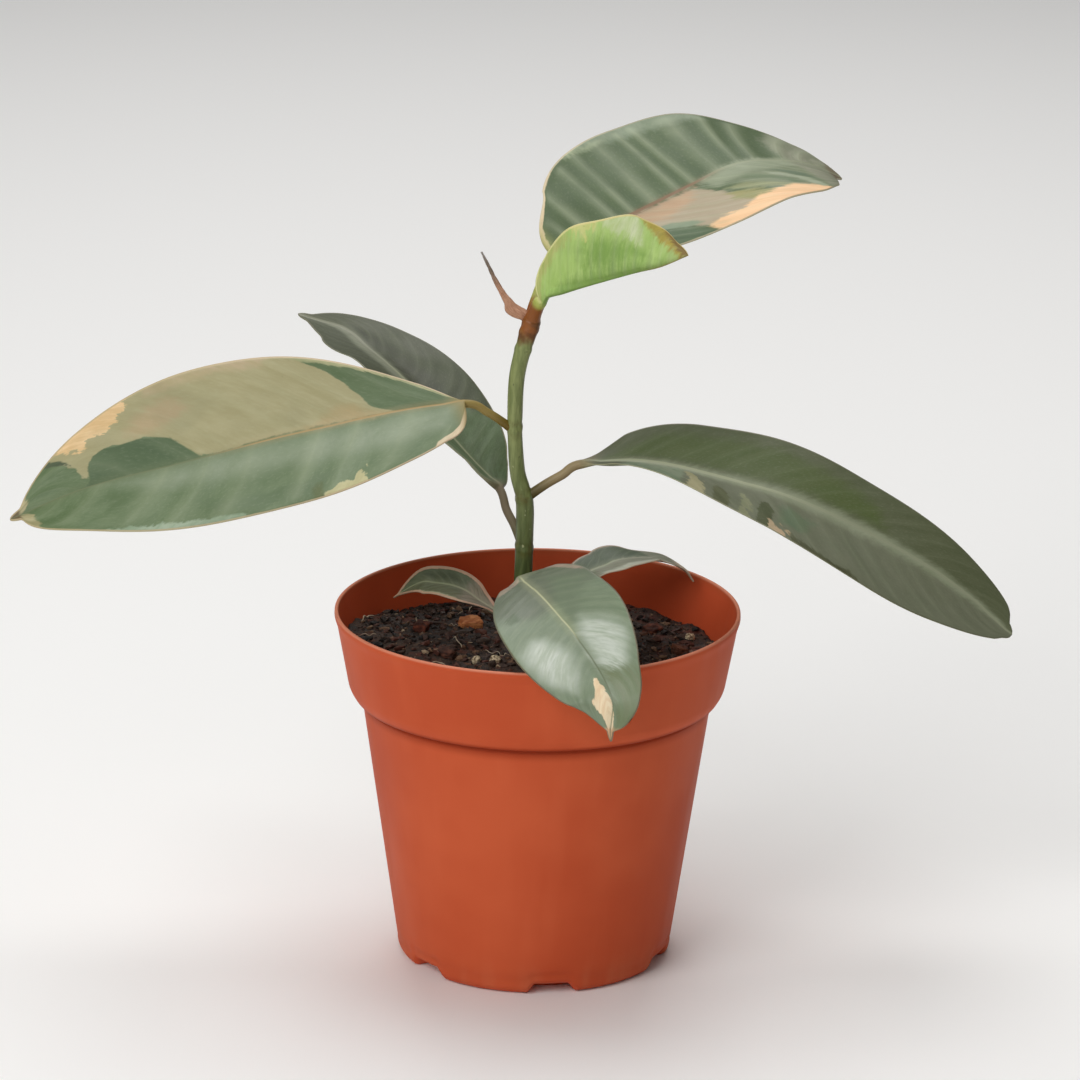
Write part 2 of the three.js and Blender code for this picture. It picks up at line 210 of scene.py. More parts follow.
def lay_uv(piece, along, across):
    """Lays the piece's own UV map from one pair of numbers per vertex."""
    mesh = piece.data
    layer = mesh.uv_layers.new(name="surface")
    corner = np.zeros(len(mesh.loops), np.int64)
    mesh.loops.foreach_get("vertex_index", corner)
    pairs = np.stack([along, across], -1)[corner]
    layer.data.foreach_set("uv", pairs.astype(np.float32).ravel())


def closed_card(columns, rows):
    """A flat closed card of quads, with each vertex's column, row and side: +1 above, -1 below."""
    bm = bmesh.new()
    bmesh.ops.create_grid(bm, x_segments=columns, y_segments=rows, size=1)
    bmesh.ops.solidify(bm, geom=bm.faces[:], thickness=0.1)
    places = np.array([vertex.co for vertex in bm.verts])
    column = np.rint((places[:, 0] + 1) / 2 * columns).astype(int)
    row = np.rint((places[:, 1] + 1) / 2 * rows).astype(int)
    middle = (places[:, 2].min() + places[:, 2].max()) / 2
    return bm, column, row, np.where(places[:, 2] > middle, 1, -1)


def spun(section, steps):
    """Spins a section of (radius, height) points round the upright axis into one closed skin."""
    bm = bmesh.new()
    corners = [bm.verts.new((radius, 0, height)) for radius, height in section]
    edges = [bm.edges.new(pair) for pair in zip(corners, corners[1:])]
    bmesh.ops.spin(bm, geom=corners + edges, cent=(0, 0, 0), axis=(0, 0, 1), angle=2 * math.pi, steps=steps,
                   use_merge=True)
    bmesh.ops.remove_doubles(bm, verts=bm.verts, dist=0.001)
    bmesh.ops.recalc_face_normals(bm, faces=bm.faces[:])
    return bm


def unit_tube(sides, rings):
    """A closed tube of radius 1 from z = 0 to z = 1, with its rings evenly spaced."""
    bm = bmesh.new()
    bmesh.ops.create_cone(bm, cap_ends=True, segments=sides, radius1=1, radius2=1, depth=1,
                          matrix=Matrix.Translation((0, 0, 0.5)))
    upright = [edge for edge in bm.edges if abs(edge.verts[0].co.z - edge.verts[1].co.z) > 0.5]
    bmesh.ops.subdivide_edges(bm, edges=upright, cuts=rings - 1, use_grid_fill=True)
    return bm


def shape_skin(bm, places):
    """Moves each vertex to its place, and turns the faces of the closed skin outwards."""
    for vertex, place in zip(bm.verts, places):
        vertex.co = place
    bmesh.ops.recalc_face_normals(bm, faces=bm.faces[:])


# ---------------------------------------------------------------- curves

class Axis:
    """A smooth line through points, read by its share of length."""

    def __init__(self, points, samples_per_span=40):
        self.points = np.asarray(points, float)
        spans = len(self.points) - 1
        self.turns = np.linspace(0, 1, samples_per_span * spans + 1)
        steps = np.linalg.norm(np.diff(self.at_turn(self.turns), axis=0), axis=1)
        self.lengths = np.concatenate([[0], np.cumsum(steps)])
        self.length = self.lengths[-1]
        self.samples_per_span = samples_per_span

    def at_turn(self, turn):
        """The point at a share of the spans, by the Catmull-Rom rule."""
        points = self.points
        spans = len(points) - 1
        padded = np.vstack([2 * points[0] - points[1], points, 2 * points[-1] - points[-2]])
        place = np.clip(turn, 0, 1) * spans
        span = np.minimum(place.astype(int), spans - 1)
        t = (place - span)[:, None]
        a, b, c, d = (padded[span + k] for k in range(4))
        bend, twist = 2 * a - 5 * b + 4 * c - d, 3 * b - a - 3 * c + d
        return 0.5 * (2 * b + (c - a) * t + bend * t ** 2 + twist * t ** 3)

    def turn_of(self, share):
        return np.interp(np.asarray(share) * self.length, self.lengths, self.turns)

    def at(self, share):
        return self.at_turn(self.turn_of(share))

    def direction(self, share):
        turn = self.turn_of(share)
        small = 1e-3
        ahead = self.at_turn(np.minimum(turn + small, 1)) - self.at_turn(np.maximum(turn - small, 0))
        return unit(ahead)

    def share_of_point(self, index):
        return self.lengths[self.samples_per_span * index] / self.length


def unit(vectors):
    return vectors / np.maximum(np.linalg.norm(vectors, axis=-1, keepdims=True), 1e-12)


def grid_normals(grid):
    return unit(np.cross(np.gradient(grid, axis=1), np.gradient(grid, axis=0)))


def smooth_step(value, low, high):
    share = np.clip((value - low) / (high - low), 0, 1)
    return share * share * (3 - 2 * share)


def distance_into(outline, x, y):
    """How far inside a closed outline each point lies, negative outside it."""
    corners = np.asarray(outline, float)
    nearest = np.full(x.shape, 1e9)
    inside = np.zeros(x.shape, bool)
    for (ax, ay), (bx, by) in zip(corners, np.roll(corners, -1, axis=0)):
        side_x, side_y = bx - ax, by - ay
        along = np.clip(((x - ax) * side_x + (y - ay) * side_y) / (side_x ** 2 + side_y ** 2), 0, 1)
        nearest = np.minimum(nearest, np.hypot(x - ax - along * side_x, y - ay - along * side_y))
        crosses = (ay > y) != (by > y)
        with np.errstate(divide="ignore", invalid="ignore"):
            inside ^= crosses & (x < side_x * (y - ay) / side_y + ax)
    return np.where(inside, nearest, -nearest)


# ---------------------------------------------------------------- leaves: what they are

# petiole, midrib     the points that the leaf grows along; petiole_radius is its stalk's
# half_width ...      the two halves of the blade, left and right seen from above and from the petiole
# drip, drip_length   the pointed end: its half width as a share of half_width, its length as one of the blade
# roll, fold          degrees: turn about the midrib at base, middle and tip; rise of the halves, base and tip
# fold_ramp, blend    the share of the blade over which it starts to fold, and over which the stalk flattens
# laterals            how many broad side ribs there are
# slant               for each half, how far side ribs run forward from midrib to margin, at base and at tip
# relief, bands       for each half, how far the blade swells between side ribs, and how strongly the ribs are painted paler: partly their own paler tissue, partly painted sheen on the swells
# lines               how clear the thin line along each side rib is
# rib_path            where the midrib runs across the blade, as (share along, share across) pairs
# rib_reach           half the midrib's visible width at base and tip
# gloss               roughness where the wax is smooth and where it is rubbed
# ..._colours         the colours at the start and at the end; ..._change says where one turns into the other
# patches             (two colours, softness, raggedness, outline), the outline in percent along and across; a few are painted sheen or highlights, marked where they stand
LEAVES = {
    "leaf_left_large": dict(
        petiole=[(-6.6, 0, 144.5), (-13.5, -1, 149.5)],
        midrib=[(-20, -3, 152.5), (-39, -9, 151.5), (-65.5, -15, 147.2), (-90.8, -20, 141.1),
                (-117, -23, 134.2), (-136.7, -25, 126)],
        petiole_radius=1.05, half_width=(27, 25), widest_at=(0.41, 0.52), base=(0.39, 0.81), tip=(0.49, 0.69),
        drip=0.1, drip_length=0.025, roll=(23, 36.5, 34.5), fold=(9, 14),
        laterals=9, slant=((0.1, 0.14), (0.2, 0.24)), relief=(0.1, 0.05), bands=(0.14, 0.03),
        rib_path=[(0, 0), (0.12, 0), (0.3, -0.03), (0.5, -0.02), (0.8, 0), (1, 0)], rib_reach=(0.34, 0.16),
        gloss=(0.44, 0.56),
        ground=((104, 121, 86), (86, 106, 68)), rib_colours=((170, 142, 92), (110, 118, 84)),
        rib_change=(0.42, 0.6), margin=((214, 190, 158), (190, 172, 134)), margin_width=0.5,
        petiole_colours=((104, 84, 26), (150, 130, 74)),
        patches=[
            # painted sheen: a paler band beside the midrib on the near half
            ((132, 144, 118), (118, 132, 102), 4, 1.6, [(1, -12), (30, -14), (55, -8), (78, -6), (70, -30),
              (50, -40), (30, -50), (6, -66)]),
            ((226, 206, 172), (204, 184, 150), 0.3, 0.3, [(0, -50), (1.2, -64), (3, -79), (6, -86), (10, -91),
              (12, -110), (0, -110)]),
            ((78, 98, 60), (92, 110, 74), 0.5, 0.6, [(-5, 0), (15, 0), (20, 20), (21.5, 40), (24, 60),
              (27, 80), (33, 94), (40, 110), (-5, 110)]),
            ((190, 182, 138), (150, 154, 112), 0.5, 0.8, [(1, 62), (5, 74), (10, 86), (20, 92), (36, 95),
              (38, 110), (0, 110)]),
            ((170, 163, 124), (158, 151, 110), 0.35, 0.6, [(15, 0), (20, 20), (21.5, 40), (24, 60), (27, 80),
              (33, 94), (40, 110), (90, 110), (88, 80), (85.5, 60), (83.5, 42), (83, 20), (81.5, 15),
              (81, 35), (79.5, 46), (77, 50), (73.5, 45), (68, 42), (63, 32), (60, 15), (57.5, 0)]),
            ((172, 153, 110), (164, 149, 106), 2.2, 1.2, [(18, 0), (21, 12), (23, 24), (26, 26), (30, 12),
              (34, 0)]),
            ((180, 160, 124), (168, 153, 114), 2.2, 2, [(57, 60), (61, 50), (67, 46), (72, 54), (69, 72),
              (62, 78)]),
            ((186, 166, 134), (172, 160, 120), 1.4, 1.6, [(40, 86), (50, 90), (60, 86), (66, 90), (66, 110),
              (38, 110)]),
            ((238, 206, 158), (212, 178, 126), 0.4, 2.4, [(69, 110), (71.5, 88), (74.5, 78), (76.5, 66),
              (79, 74), (81.5, 62), (85, 82), (88.5, 110)]),
            ((76, 96, 64), (88, 106, 74), 0.35, 0.5, [(57.5, 0), (60, 15), (63, 32), (68, 42), (73.5, 45),
              (77, 50), (79.5, 46), (81, 33), (81.2, 12), (83, 0)]),
            ((62, 74, 50), (78, 90, 64), 0.3, 0.3, [(84, 50), (87.2, 72), (89.2, 90), (90.5, 110),
              (89.3, 110), (87.8, 90), (86, 74)]),
            ((82, 102, 66), (92, 110, 76), 2, 1.6, [(30, -66), (38, -72), (50, -70), (60, -66), (58, -84),
              (45, -93), (35, -95)]),
            ((94, 102, 56), (82, 96, 54), 0.8, 0.8, [(35, -78), (37.5, -85), (38, -110), (35.5, -110)]),
            ((186, 180, 134), (170, 164, 116), 0.25, 0.8, [(24.2, -110), (25.6, -94), (24.6, -70),
              (26.2, -88), (27.2, -74), (28.3, -90), (30.5, -86), (33, -92), (35.5, -93), (36.5, -110)]),
            ((160, 174, 150), (126, 146, 116), 0.6, 1.4, [(50, -110), (54, -95), (60, -90), (68, -90),
              (78, -94), (86, -110)]),
            ((190, 178, 138), (146, 140, 100), 0.6, 1, [(93.5, -120), (95, -30), (97.5, 0), (95, 50),
              (96, 120), (110, 120), (110, -120)]),
            ((112, 88, 60), (96, 76, 50), 0.5, 0.6, [(97.5, -120), (97.5, 120), (110, 120), (110, -120)]),
        ]),
    "leaf_back_left": dict(
        petiole=[(-3.8, 0, 112), (-6.4, 3, 117.5), (-8.6, 6, 121)],
        midrib=[(-10.5, 10, 125.5), (-16.5, 17, 130), (-21.5, 24, 134), (-28.5, 36, 140), (-36.5, 52, 145.5),
                (-47.5, 67, 149), (-54.5, 76, 150.5), (-67.5, 88, 152)],
        petiole_radius=1.1, half_width=(19.6, 18.7), widest_at=(0.44, 0.36), base=(0.6, 0.58),
        tip=(0.93, 0.73), drip=0.1, roll=(-20, -14, 27), fold=(12, 7),
        laterals=15, slant=((0.12, 0.3), (0.12, 0.3)), relief=(0.04, 0.04), bands=(0.03, 0.03), lines=0.006,
        rib_path=[(0, 0), (0.4, -0.2), (0.55, -0.25), (0.7, -0.1), (0.78, 0.02), (0.85, 0.14), (1, 0)],
        rib_reach=(0.7, 0.5), gloss=(0.46, 0.58),
        ground=((69, 74, 50), (61, 66, 43)), rib_colours=((146, 150, 118), (136, 137, 118)),
        rib_change=(0.4, 0.7), margin=((176, 172, 142), (120, 118, 98)), margin_width=0.4,
        petiole_colours=((104, 98, 68), (124, 110, 88)),
        patches=[
            ((92, 110, 76), (76, 92, 58), 2.5, 2, [(-5, -110), (-5, 110), (30, 110), (36, 40), (40, -30),
              (36, -110)]),
            ((140, 144, 116), (112, 118, 90), 0.6, 1.2, [(2, -66), (15, -74), (30, -80), (36, -110),
              (2, -110)]),
            ((82, 85, 66), (73, 76, 57), 3, 1, [(60, 50), (90, 30), (98, 5), (98, 110), (50, 110)]),
            ((58, 61, 38), (51, 54, 33), 3, 1, [(30, 0), (50, -16), (65, 0), (78, 16), (80, 34), (65, 36),
              (50, 30), (30, 30)]),
            # painted sheen along the near side of the midrib
            ((126, 129, 108), (108, 111, 90), 1.8, 0.8, [(42, -17), (55, -20), (70, -5), (78, 7), (85, 18),
              (94, 12), (94, -4), (85, -8), (78, -20), (70, -32), (55, -46), (45, -42)]),
        ]),
    "leaf_right": dict(
        petiole=[(-4.4, 0, 125.5), (-1.6, 0, 127.5), (1.9, 0, 130), (6, 0, 132.5)],
        midrib=[(11, 0, 135.5), (25.5, -3, 137), (41.5, -6, 135.2), (63, -10, 130.5), (82.2, -13, 122.2),
                (103.8, -15, 109.7), (124.3, -16, 95)],
        petiole_radius=1.2, half_width=(18, 24.6), widest_at=(0.23, 0.58), base=(0.68, 0.87), tip=(0.3, 0.55),
        drip=0.22, drip_length=0.018, roll=(-1, -21, -29.3), fold=(19, 12),
        laterals=17, slant=((0.12, 0.2), (0.08, 0.16)), relief=(0.03, 0.04), bands=(0.02, 0.04), lines=0.01,
        rib_path=[(0, 0), (0.1, -0.06), (0.2, -0.05), (0.35, -0.01), (0.5, -0.06), (0.6, -0.1), (0.7, -0.14),
        (0.8, -0.17), (0.9, -0.16), (1, 0)], rib_reach=(0.7, 0.45), gloss=(0.44, 0.56),
        ground=((92, 97, 70), (84, 90, 62)), rib_colours=((164, 168, 138), (142, 146, 120)),
        rib_change=(0.3, 0.6), margin=((160, 156, 128), (106, 104, 80)), margin_width=0.3,
        petiole_colours=((84, 74, 34), (150, 132, 96)),
        patches=[
            ((112, 115, 93), (104, 108, 85), 1.6, 1, [(20, -2), (110, -10), (110, 110), (20, 110)]),
            ((76, 90, 44), (84, 95, 54), 3.5, 2, [(2, -14), (30, -14), (50, -20), (66, -30), (62, -66),
              (40, -80), (15, -75)]),
            # painted sheen: a paler band along the midrib
            ((144, 150, 124), (130, 137, 109), 2.4, 1.2, [(10, 6), (30, 10), (50, 8), (70, -2), (90, -6),
              (97, -5), (97, -20), (80, -24), (60, -20), (35, -10), (10, -10)]),
            ((140, 150, 124), (112, 130, 102), 1, 1.2, [(10, 4), (22, 4), (22.5, 40), (23, 110), (10, 110)]),
            ((178, 170, 132), (158, 152, 112), 0.3, 1.4, [(22.2, 3), (23.2, 30), (24.3, 60), (24, 110),
              (29.2, 110), (28, 70), (26.2, 40), (24.5, 15)]),
            ((76, 80, 46), (90, 92, 58), 0.5, 1.2, [(30, 35), (30, 110), (34.5, 110), (33.5, 70), (32, 45)]),
            ((142, 142, 110), (128, 132, 98), 0.4, 1.6, [(35.5, 30), (36.2, 60), (36.5, 110), (39.5, 110),
              (38.5, 70), (37, 40)]),
            ((66, 72, 40), (80, 86, 52), 0.4, 1, [(39.8, 40), (40.2, 110), (43.6, 110), (43.2, 50),
              (41.5, 30)]),
            ((194, 168, 136), (170, 152, 118), 0.35, 1.4, [(43, 76), (43.2, 110), (48.2, 110), (47.4, 82),
              (45.8, 86), (45, 76), (44, 88)]),
            ((92, 112, 84), (100, 112, 84), 1.6, 1.6, [(44, 20), (45, 70), (50, 68), (52, 30)]),
            ((70, 72, 46), (84, 86, 58), 0.6, 1.4, [(48.5, 84), (52, 90), (62, 92), (66, 110), (48.5, 110)]),
        ]),
    "leaf_top": dict(
        petiole=[(-3.4, 0.5, 171.5), (-1.6, 4, 178.5)],
        midrib=[(3.5, 8, 189), (12.5, 13.5, 193), (23.5, 21, 197), (38, 30, 202.2), (51.3, 39.5, 207.3),
                (62.9, 47.5, 206.9), (71.9, 52.5, 204.5), (80.2, 56, 200.2)],
        petiole_radius=1.4, half_width=(34, 24.6), widest_at=(0.46, 0.73), base=(0.53, 0.63),
        tip=(0.65, 0.47), drip=0.29, drip_length=0.038, roll=(-31.3, -14.6, -10.5), fold=(3.9, 2.9),
        laterals=14, slant=((-0.04, 0.1), (0.3, 0.5)), relief=(0.13, 0.05), bands=(0.26, 0.1), lines=0.03,
        rib_path=[(0, 0), (0.25, -0.03), (0.45, -0.04), (0.6, -0.02), (0.8, 0.05), (1, 0)],
        rib_reach=(0.7, 0.35), gloss=(0.44, 0.56),
        ground=((72, 92, 48), (62, 83, 40)), rib_colours=((128, 94, 64), (148, 154, 124)),
        rib_change=(0.46, 0.62), margin=((214, 200, 168), (168, 162, 134)), margin_width=0.55,
        petiole_colours=((138, 80, 34), (164, 168, 92)), petiole_change=(-0.7, -0.5),
        patches=[
            ((122, 131, 100), (106, 118, 86), 1.6, 1.2, [(50, -2), (110, -6), (110, 110), (66, 110),
              (60, 50)]),
            ((166, 176, 140), (142, 154, 116), 1.4, 1.2, [(26, -96), (34, -90), (42, -93), (48, -100),
              (46, -110), (26, -110)]),
            ((222, 200, 160), (208, 186, 148), 0.4, 0.4, [(-2, -30), (1.2, -42), (2, -65), (3.5, -86),
              (8, -94.5), (18, -97.5), (22, -110), (-2, -110)]),
            ((132, 144, 118), (118, 132, 104), 2, 1, [(30, -110), (30, -96), (45, -86), (60, -82), (70, -90),
              (72, -110)]),
            ((172, 156, 130), (162, 148, 118), 0.7, 0.8, [(20, 0), (25, 30), (27, 46), (31, 50), (36, 58),
              (38.5, 76), (42, 90), (43, 110), (69, 110), (64, 78), (56, 60), (52.5, 40), (50, 20),
              (47.5, 2)]),
            ((186, 154, 120), (178, 146, 112), 2.2, 1.6, [(24, 0), (28, 30), (34, 36), (44, 22), (47, 2)]),
            ((150, 144, 88), (142, 140, 84), 1.2, 1.4, [(52, 40), (56, 52), (63, 74), (62, 84), (56, 80),
              (54, 70), (51.5, 56)]),
            ((244, 202, 154), (230, 184, 134), 0.8, 1.2, [(40, 84), (45, 76), (50, 80), (57, 70), (62, 74),
              (70, 72), (77, 82), (86, 110), (42, 110)]),
            ((66, 88, 54), (80, 102, 66), 0.8, 0.8, [(18, 50), (30, 56), (35, 70), (39, 86), (42, 110),
              (18, 110)]),
            ((124, 140, 112), (136, 146, 116), 0.9, 0.8, [(27, 45), (33, 48), (39, 62), (40, 72), (35, 68),
              (30, 56)]),
            ((92, 112, 78), (80, 100, 68), 0.8, 1, [(0, 0), (20, 0), (27, 46), (18, 60), (10, 110),
              (0, 110)]),
            ((142, 150, 122), (130, 140, 110), 1.6, 1.2, [(50, 0), (52, 22), (60, 24), (70, 26), (82, 20),
              (84, 2), (70, -2)]),
            ((126, 132, 88), (138, 142, 98), 0.9, 1, [(53, 30), (58, 36), (62, 50), (67, 64), (70, 72),
              (66, 70), (62, 62), (57, 52)]),
            ((84, 104, 68), (98, 114, 78), 0.8, 0.9, [(60, 24), (64.5, 34), (70, 52), (74, 72), (71, 70),
              (66, 50), (60, 34)]),
            ((156, 164, 138), (142, 152, 122), 0.7, 0.9, [(66, 30), (72, 42), (78, 60), (82, 90), (79, 90),
              (74, 60), (68, 42)]),
            ((82, 102, 72), (96, 112, 82), 0.8, 0.8, [(70, 28), (77, 38), (80, 50), (83, 80), (80, 66),
              (74, 46)]),
            ((146, 146, 124), (128, 133, 108), 2, 1.6, [(80, -10), (82, 30), (84, 110), (110, 110),
              (110, -110), (86, -110), (80, -50)]),
            ((118, 104, 82), (104, 92, 70), 0.9, 0.8, [(96.5, -120), (95, 0), (94.5, 120), (110, 120),
              (110, -120)]),
        ]),
    "leaf_new": dict(
        petiole=[(-2.5, 0, 174.2), (-1.6, -1.2, 177)],
        midrib=[(-0.2, -3, 180.2), (3.2, -6, 183.6), (8.1, -9, 186.1), (15, -12, 188.8), (23.9, -15, 191.9),
                (30.5, -17, 193.9), (37.3, -18, 197)],
        petiole_radius=1.7, half_width=(15.8, 18.8), widest_at=(0.55, 0.52), base=(1.24, 1.05),
        tip=(0.53, 0.36), drip=0.36, drip_length=0.026, blend=0.2, roll=(5, 5, 28), fold=(60, 60),
        fold_ramp=0.14,
        laterals=14, slant=((0.2, 0.2), (0.2, 0.2)), relief=(0.05, 0.05), bands=(0.1, 0.1), rib_path=[(0, 0),
        (1, 0)], rib_reach=(0.6, 0.4), gloss=(0.4, 0.5),
        ground=((188, 216, 130), (172, 205, 112)), rib_colours=((120, 150, 76), (150, 136, 84)),
        rib_change=(0.6, 0.9), margin=((226, 226, 160), (232, 216, 150)), margin_width=0.45,
        petiole_colours=((138, 80, 34), (166, 172, 84)), petiole_change=(-0.3, -0.02),
        patches=[
            ((140, 174, 88), (130, 165, 80), 2.6, 1.2, [(10, -22), (30, -30), (60, -22), (85, -10), (85, 10),
              (60, 20), (30, 24), (10, 10)]),
            ((146, 182, 90), (136, 172, 84), 3, 1.6, [(42, 30), (56, 24), (78, 26), (75, 50), (62, 66),
              (52, 74), (45, 60)]),
            ((182, 186, 124), (166, 178, 108), 1, 1.6, [(0, -10), (8, -50), (20, -75), (35, -80), (42, -110),
              (0, -110)]),
            ((198, 200, 128), (176, 190, 106), 1.4, 1.8, [(-2, 40), (4, 50), (14, 72), (30, 84), (40, 86),
              (42, 110), (-2, 110)]),
            ((226, 226, 152), (202, 210, 126), 0.8, 1.6, [(44, 110), (45.5, 84), (48, 90), (50, 74),
              (52.5, 88), (56, 86), (60, 95), (60, 110)]),
            ((222, 232, 188), (196, 214, 148), 1.2, 1.6, [(60, 110), (64, 82), (68, 66), (71, 72), (74.5, 50),
              (76.5, 44), (78.5, 60), (82, 85), (84, 110)]),
            ((194, 174, 84), (174, 160, 76), 1.2, 1.4, [(83, 110), (85.5, 80), (90, 50), (94, 20), (95, -30),
              (92, -110), (99, -110), (99, 110)]),
            ((154, 126, 76), (140, 116, 66), 0.8, 1, [(98, -120), (97.5, 10), (95.5, 50), (94, 80),
              (93.5, 120), (110, 120), (110, -120)]),
        ]),
    "leaf_front": dict(
        petiole=[(-4, 0, 88), (-4.8, -4, 96), (-4.9, -7, 102)],
        midrib=[(-4.5, -10, 106.5), (-1.5, -22, 107), (2, -32, 106.5), (8.5, -48, 104.5), (15, -61, 97.5),
                (18, -66, 92), (19, -68, 82.5)],
        petiole_radius=1.2, half_width=(16.3, 16.3), widest_at=(0.43, 0.53), base=(0.41, 0.58),
        tip=(0.48, 0.74), drip=0.08, roll=(-25, -23, -45), fold=(11, 4),
        laterals=16, slant=((0.16, 0.22), (0.16, 0.22)), relief=(0.04, 0.04), bands=(0.05, 0.05), lines=0.012,
        rib_path=[(0, 0), (0.17, -0.08), (0.3, -0.07), (0.45, -0.04), (0.6, -0.05), (0.75, -0.12),
        (0.88, -0.16), (1, 0)], rib_reach=(0.24, 0.14), gloss=(0.3, 0.42),
        ground=((130, 143, 118), (116, 130, 105)), rib_colours=((200, 200, 160), (104, 112, 84)),
        rib_change=(0.5, 0.62), margin=((130, 134, 112), (112, 98, 76)), margin_width=0.35,
        petiole_colours=((104, 110, 72), (150, 150, 122)),
        patches=[
            ((118, 125, 108), (108, 117, 98), 3, 1.4, [(0, -110), (0, 110), (30, 110), (38, 30), (30, -40),
              (34, -110)]),
            ((114, 127, 104), (120, 132, 109), 3, 1, [(28, -90), (34, -55), (50, -30), (50, -10), (30, -20),
              (15, -50)]),
            ((188, 164, 148), (160, 148, 130), 0.7, 1, [(-5, 30), (3.5, 20), (7, 50), (11, 80), (15, 110),
              (-5, 110)]),
            ((182, 158, 142), (150, 144, 124), 0.5, 0.8, [(4, -85), (10, -82), (20, -90), (28, -110),
              (2, -110)]),
            ((84, 100, 70), (92, 108, 80), 1.2, 1, [(30, 60), (33, 78), (37, 74), (35, 55)]),
            # painted highlights: the two whitish gloss patches on either half towards the tip
            ((200, 206, 194), (168, 178, 158), 3, 0.7, [(51, 60), (56, 84), (63, 86), (72, 84), (78, 60),
              (74, 34), (64, 22), (58, 32), (53, 44)]),
            ((200, 206, 194), (164, 175, 155), 3, 0.7, [(49, -30), (56, -12), (68, -10), (80, -24), (82, -50),
              (76, -74), (65, -86), (56, -60)]),
            ((246, 226, 190), (234, 204, 164), 0.25, 0.7, [(75.5, 6), (79, 14), (83, 26), (85.5, 46),
              (88.5, 46), (91, 36), (94, 30), (100, 50), (100, -40), (95, -24), (90, -16), (86, -12),
              (83, -6), (79, -2)]),
            ((236, 196, 160), (196, 140, 96), 0.5, 0.6, [(95.5, -120), (95, 120), (110, 120), (110, -120)]),
            ((108, 124, 90), (116, 125, 94), 2, 1.2, [(74, -14), (82, -20), (90, -26), (96, -40), (96, -110),
              (82, -110), (78, -60)]),
        ]),
    "leaf_small_left": dict(
        petiole=[(-4, 0, 85.8), (-6.9, -0.2, 89.5)],
        midrib=[(-10, 0, 93.5), (-15.5, 3, 96.5), (-19, 5, 98.5), (-23, 7, 99.5), (-27.5, 9, 99.5),
                (-31.5, 10, 99), (-38.5, 11, 94.5)],
        petiole_radius=1, half_width=(8.8, 5.5), widest_at=(0.49, 0.54), base=(0.72, 0.76), tip=(0.81, 0.77),
        drip=0.1, roll=(-8, 20, 14), fold=(18, 18),
        laterals=10, slant=((0.2, 0.2), (0.2, 0.2)), relief=(0.04, 0.04), bands=(0.06, 0.06),
        rib_path=[(0, 0), (0.3, -0.03), (0.6, -0.05), (1, 0)], rib_reach=(0.4, 0.25), gloss=(0.46, 0.56),
        ground=((96, 98, 66), (80, 84, 52)), rib_colours=((160, 156, 132), (148, 152, 120)),
        rib_change=(0.3, 0.5), margin=((206, 160, 136), (196, 156, 130)), margin_width=1,
        petiole_colours=((118, 104, 78), (148, 128, 108)),
        patches=[
            ((88, 96, 72), (74, 82, 58), 0.8, 0.8, [(20, 5), (95, 5), (95, 110), (20, 110)]),
            ((144, 130, 114), (108, 102, 82), 1.6, 1.6, [(-10, -110), (-10, 110), (34, 110), (36, 30),
              (34, -30), (30, -110)]),
            ((62, 68, 46), (74, 80, 54), 1, 0.8, [(40, 30), (45, 62), (60, 66), (72, 50), (72, 15),
              (50, 12)]),
            ((186, 180, 150), (160, 154, 122), 0.4, 0.8, [(25, -86), (50, -82), (75, -86), (80, -110),
              (25, -110)]),
        ]),
    "leaf_small_right": dict(
        petiole=[(-4, 0, 86), (-1.2, 3.5, 88.6), (2, 8, 91.8)],
        midrib=[(6.5, 12, 96.5), (14, 16, 100.5), (18, 18, 101.5), (21.5, 20, 102.5), (26, 22, 102.5),
                (30.5, 24, 102), (35, 25, 101), (39.5, 25.5, 98.5), (42, 25, 95.5)],
        petiole_radius=1, half_width=(9, 9.3), widest_at=(0.46, 0.51), base=(0.65, 0.72), tip=(0.83, 0.8),
        drip=0.07, roll=(-13, 2, 8), fold=(16, 3),
        laterals=11, slant=((0.22, 0.22), (0.22, 0.22)), relief=(0.04, 0.04), bands=(0.06, 0.06),
        rib_path=[(0, 0), (0.3, -0.08), (0.6, -0.08), (1, 0)], rib_reach=(0.4, 0.25), gloss=(0.46, 0.56),
        ground=((146, 144, 126), (130, 132, 112)), rib_colours=((168, 172, 146), (160, 156, 138)),
        rib_change=(0.4, 0.7), margin=((196, 172, 150), (188, 164, 142)), margin_width=0.6,
        petiole_colours=((112, 108, 80), (150, 146, 120)),
        patches=[
            ((76, 90, 66), (90, 102, 78), 0.8, 0.8, [(5, -10), (50, -10), (66, -25), (64, -80), (50, -90),
              (5, -90)]),
            ((112, 124, 100), (96, 108, 82), 1.4, 1.2, [(-10, -110), (-10, 110), (20, 110), (24, 20),
              (20, -110)]),
            ((198, 198, 182), (178, 180, 160), 1, 1, [(26, 70), (50, 62), (74, 70), (80, 110), (26, 110)]),
            ((214, 192, 170), (196, 174, 150), 1, 0.8, [(84, -120), (82, 0), (84, 120), (110, 120),
              (110, -120)]),
        ]),
}

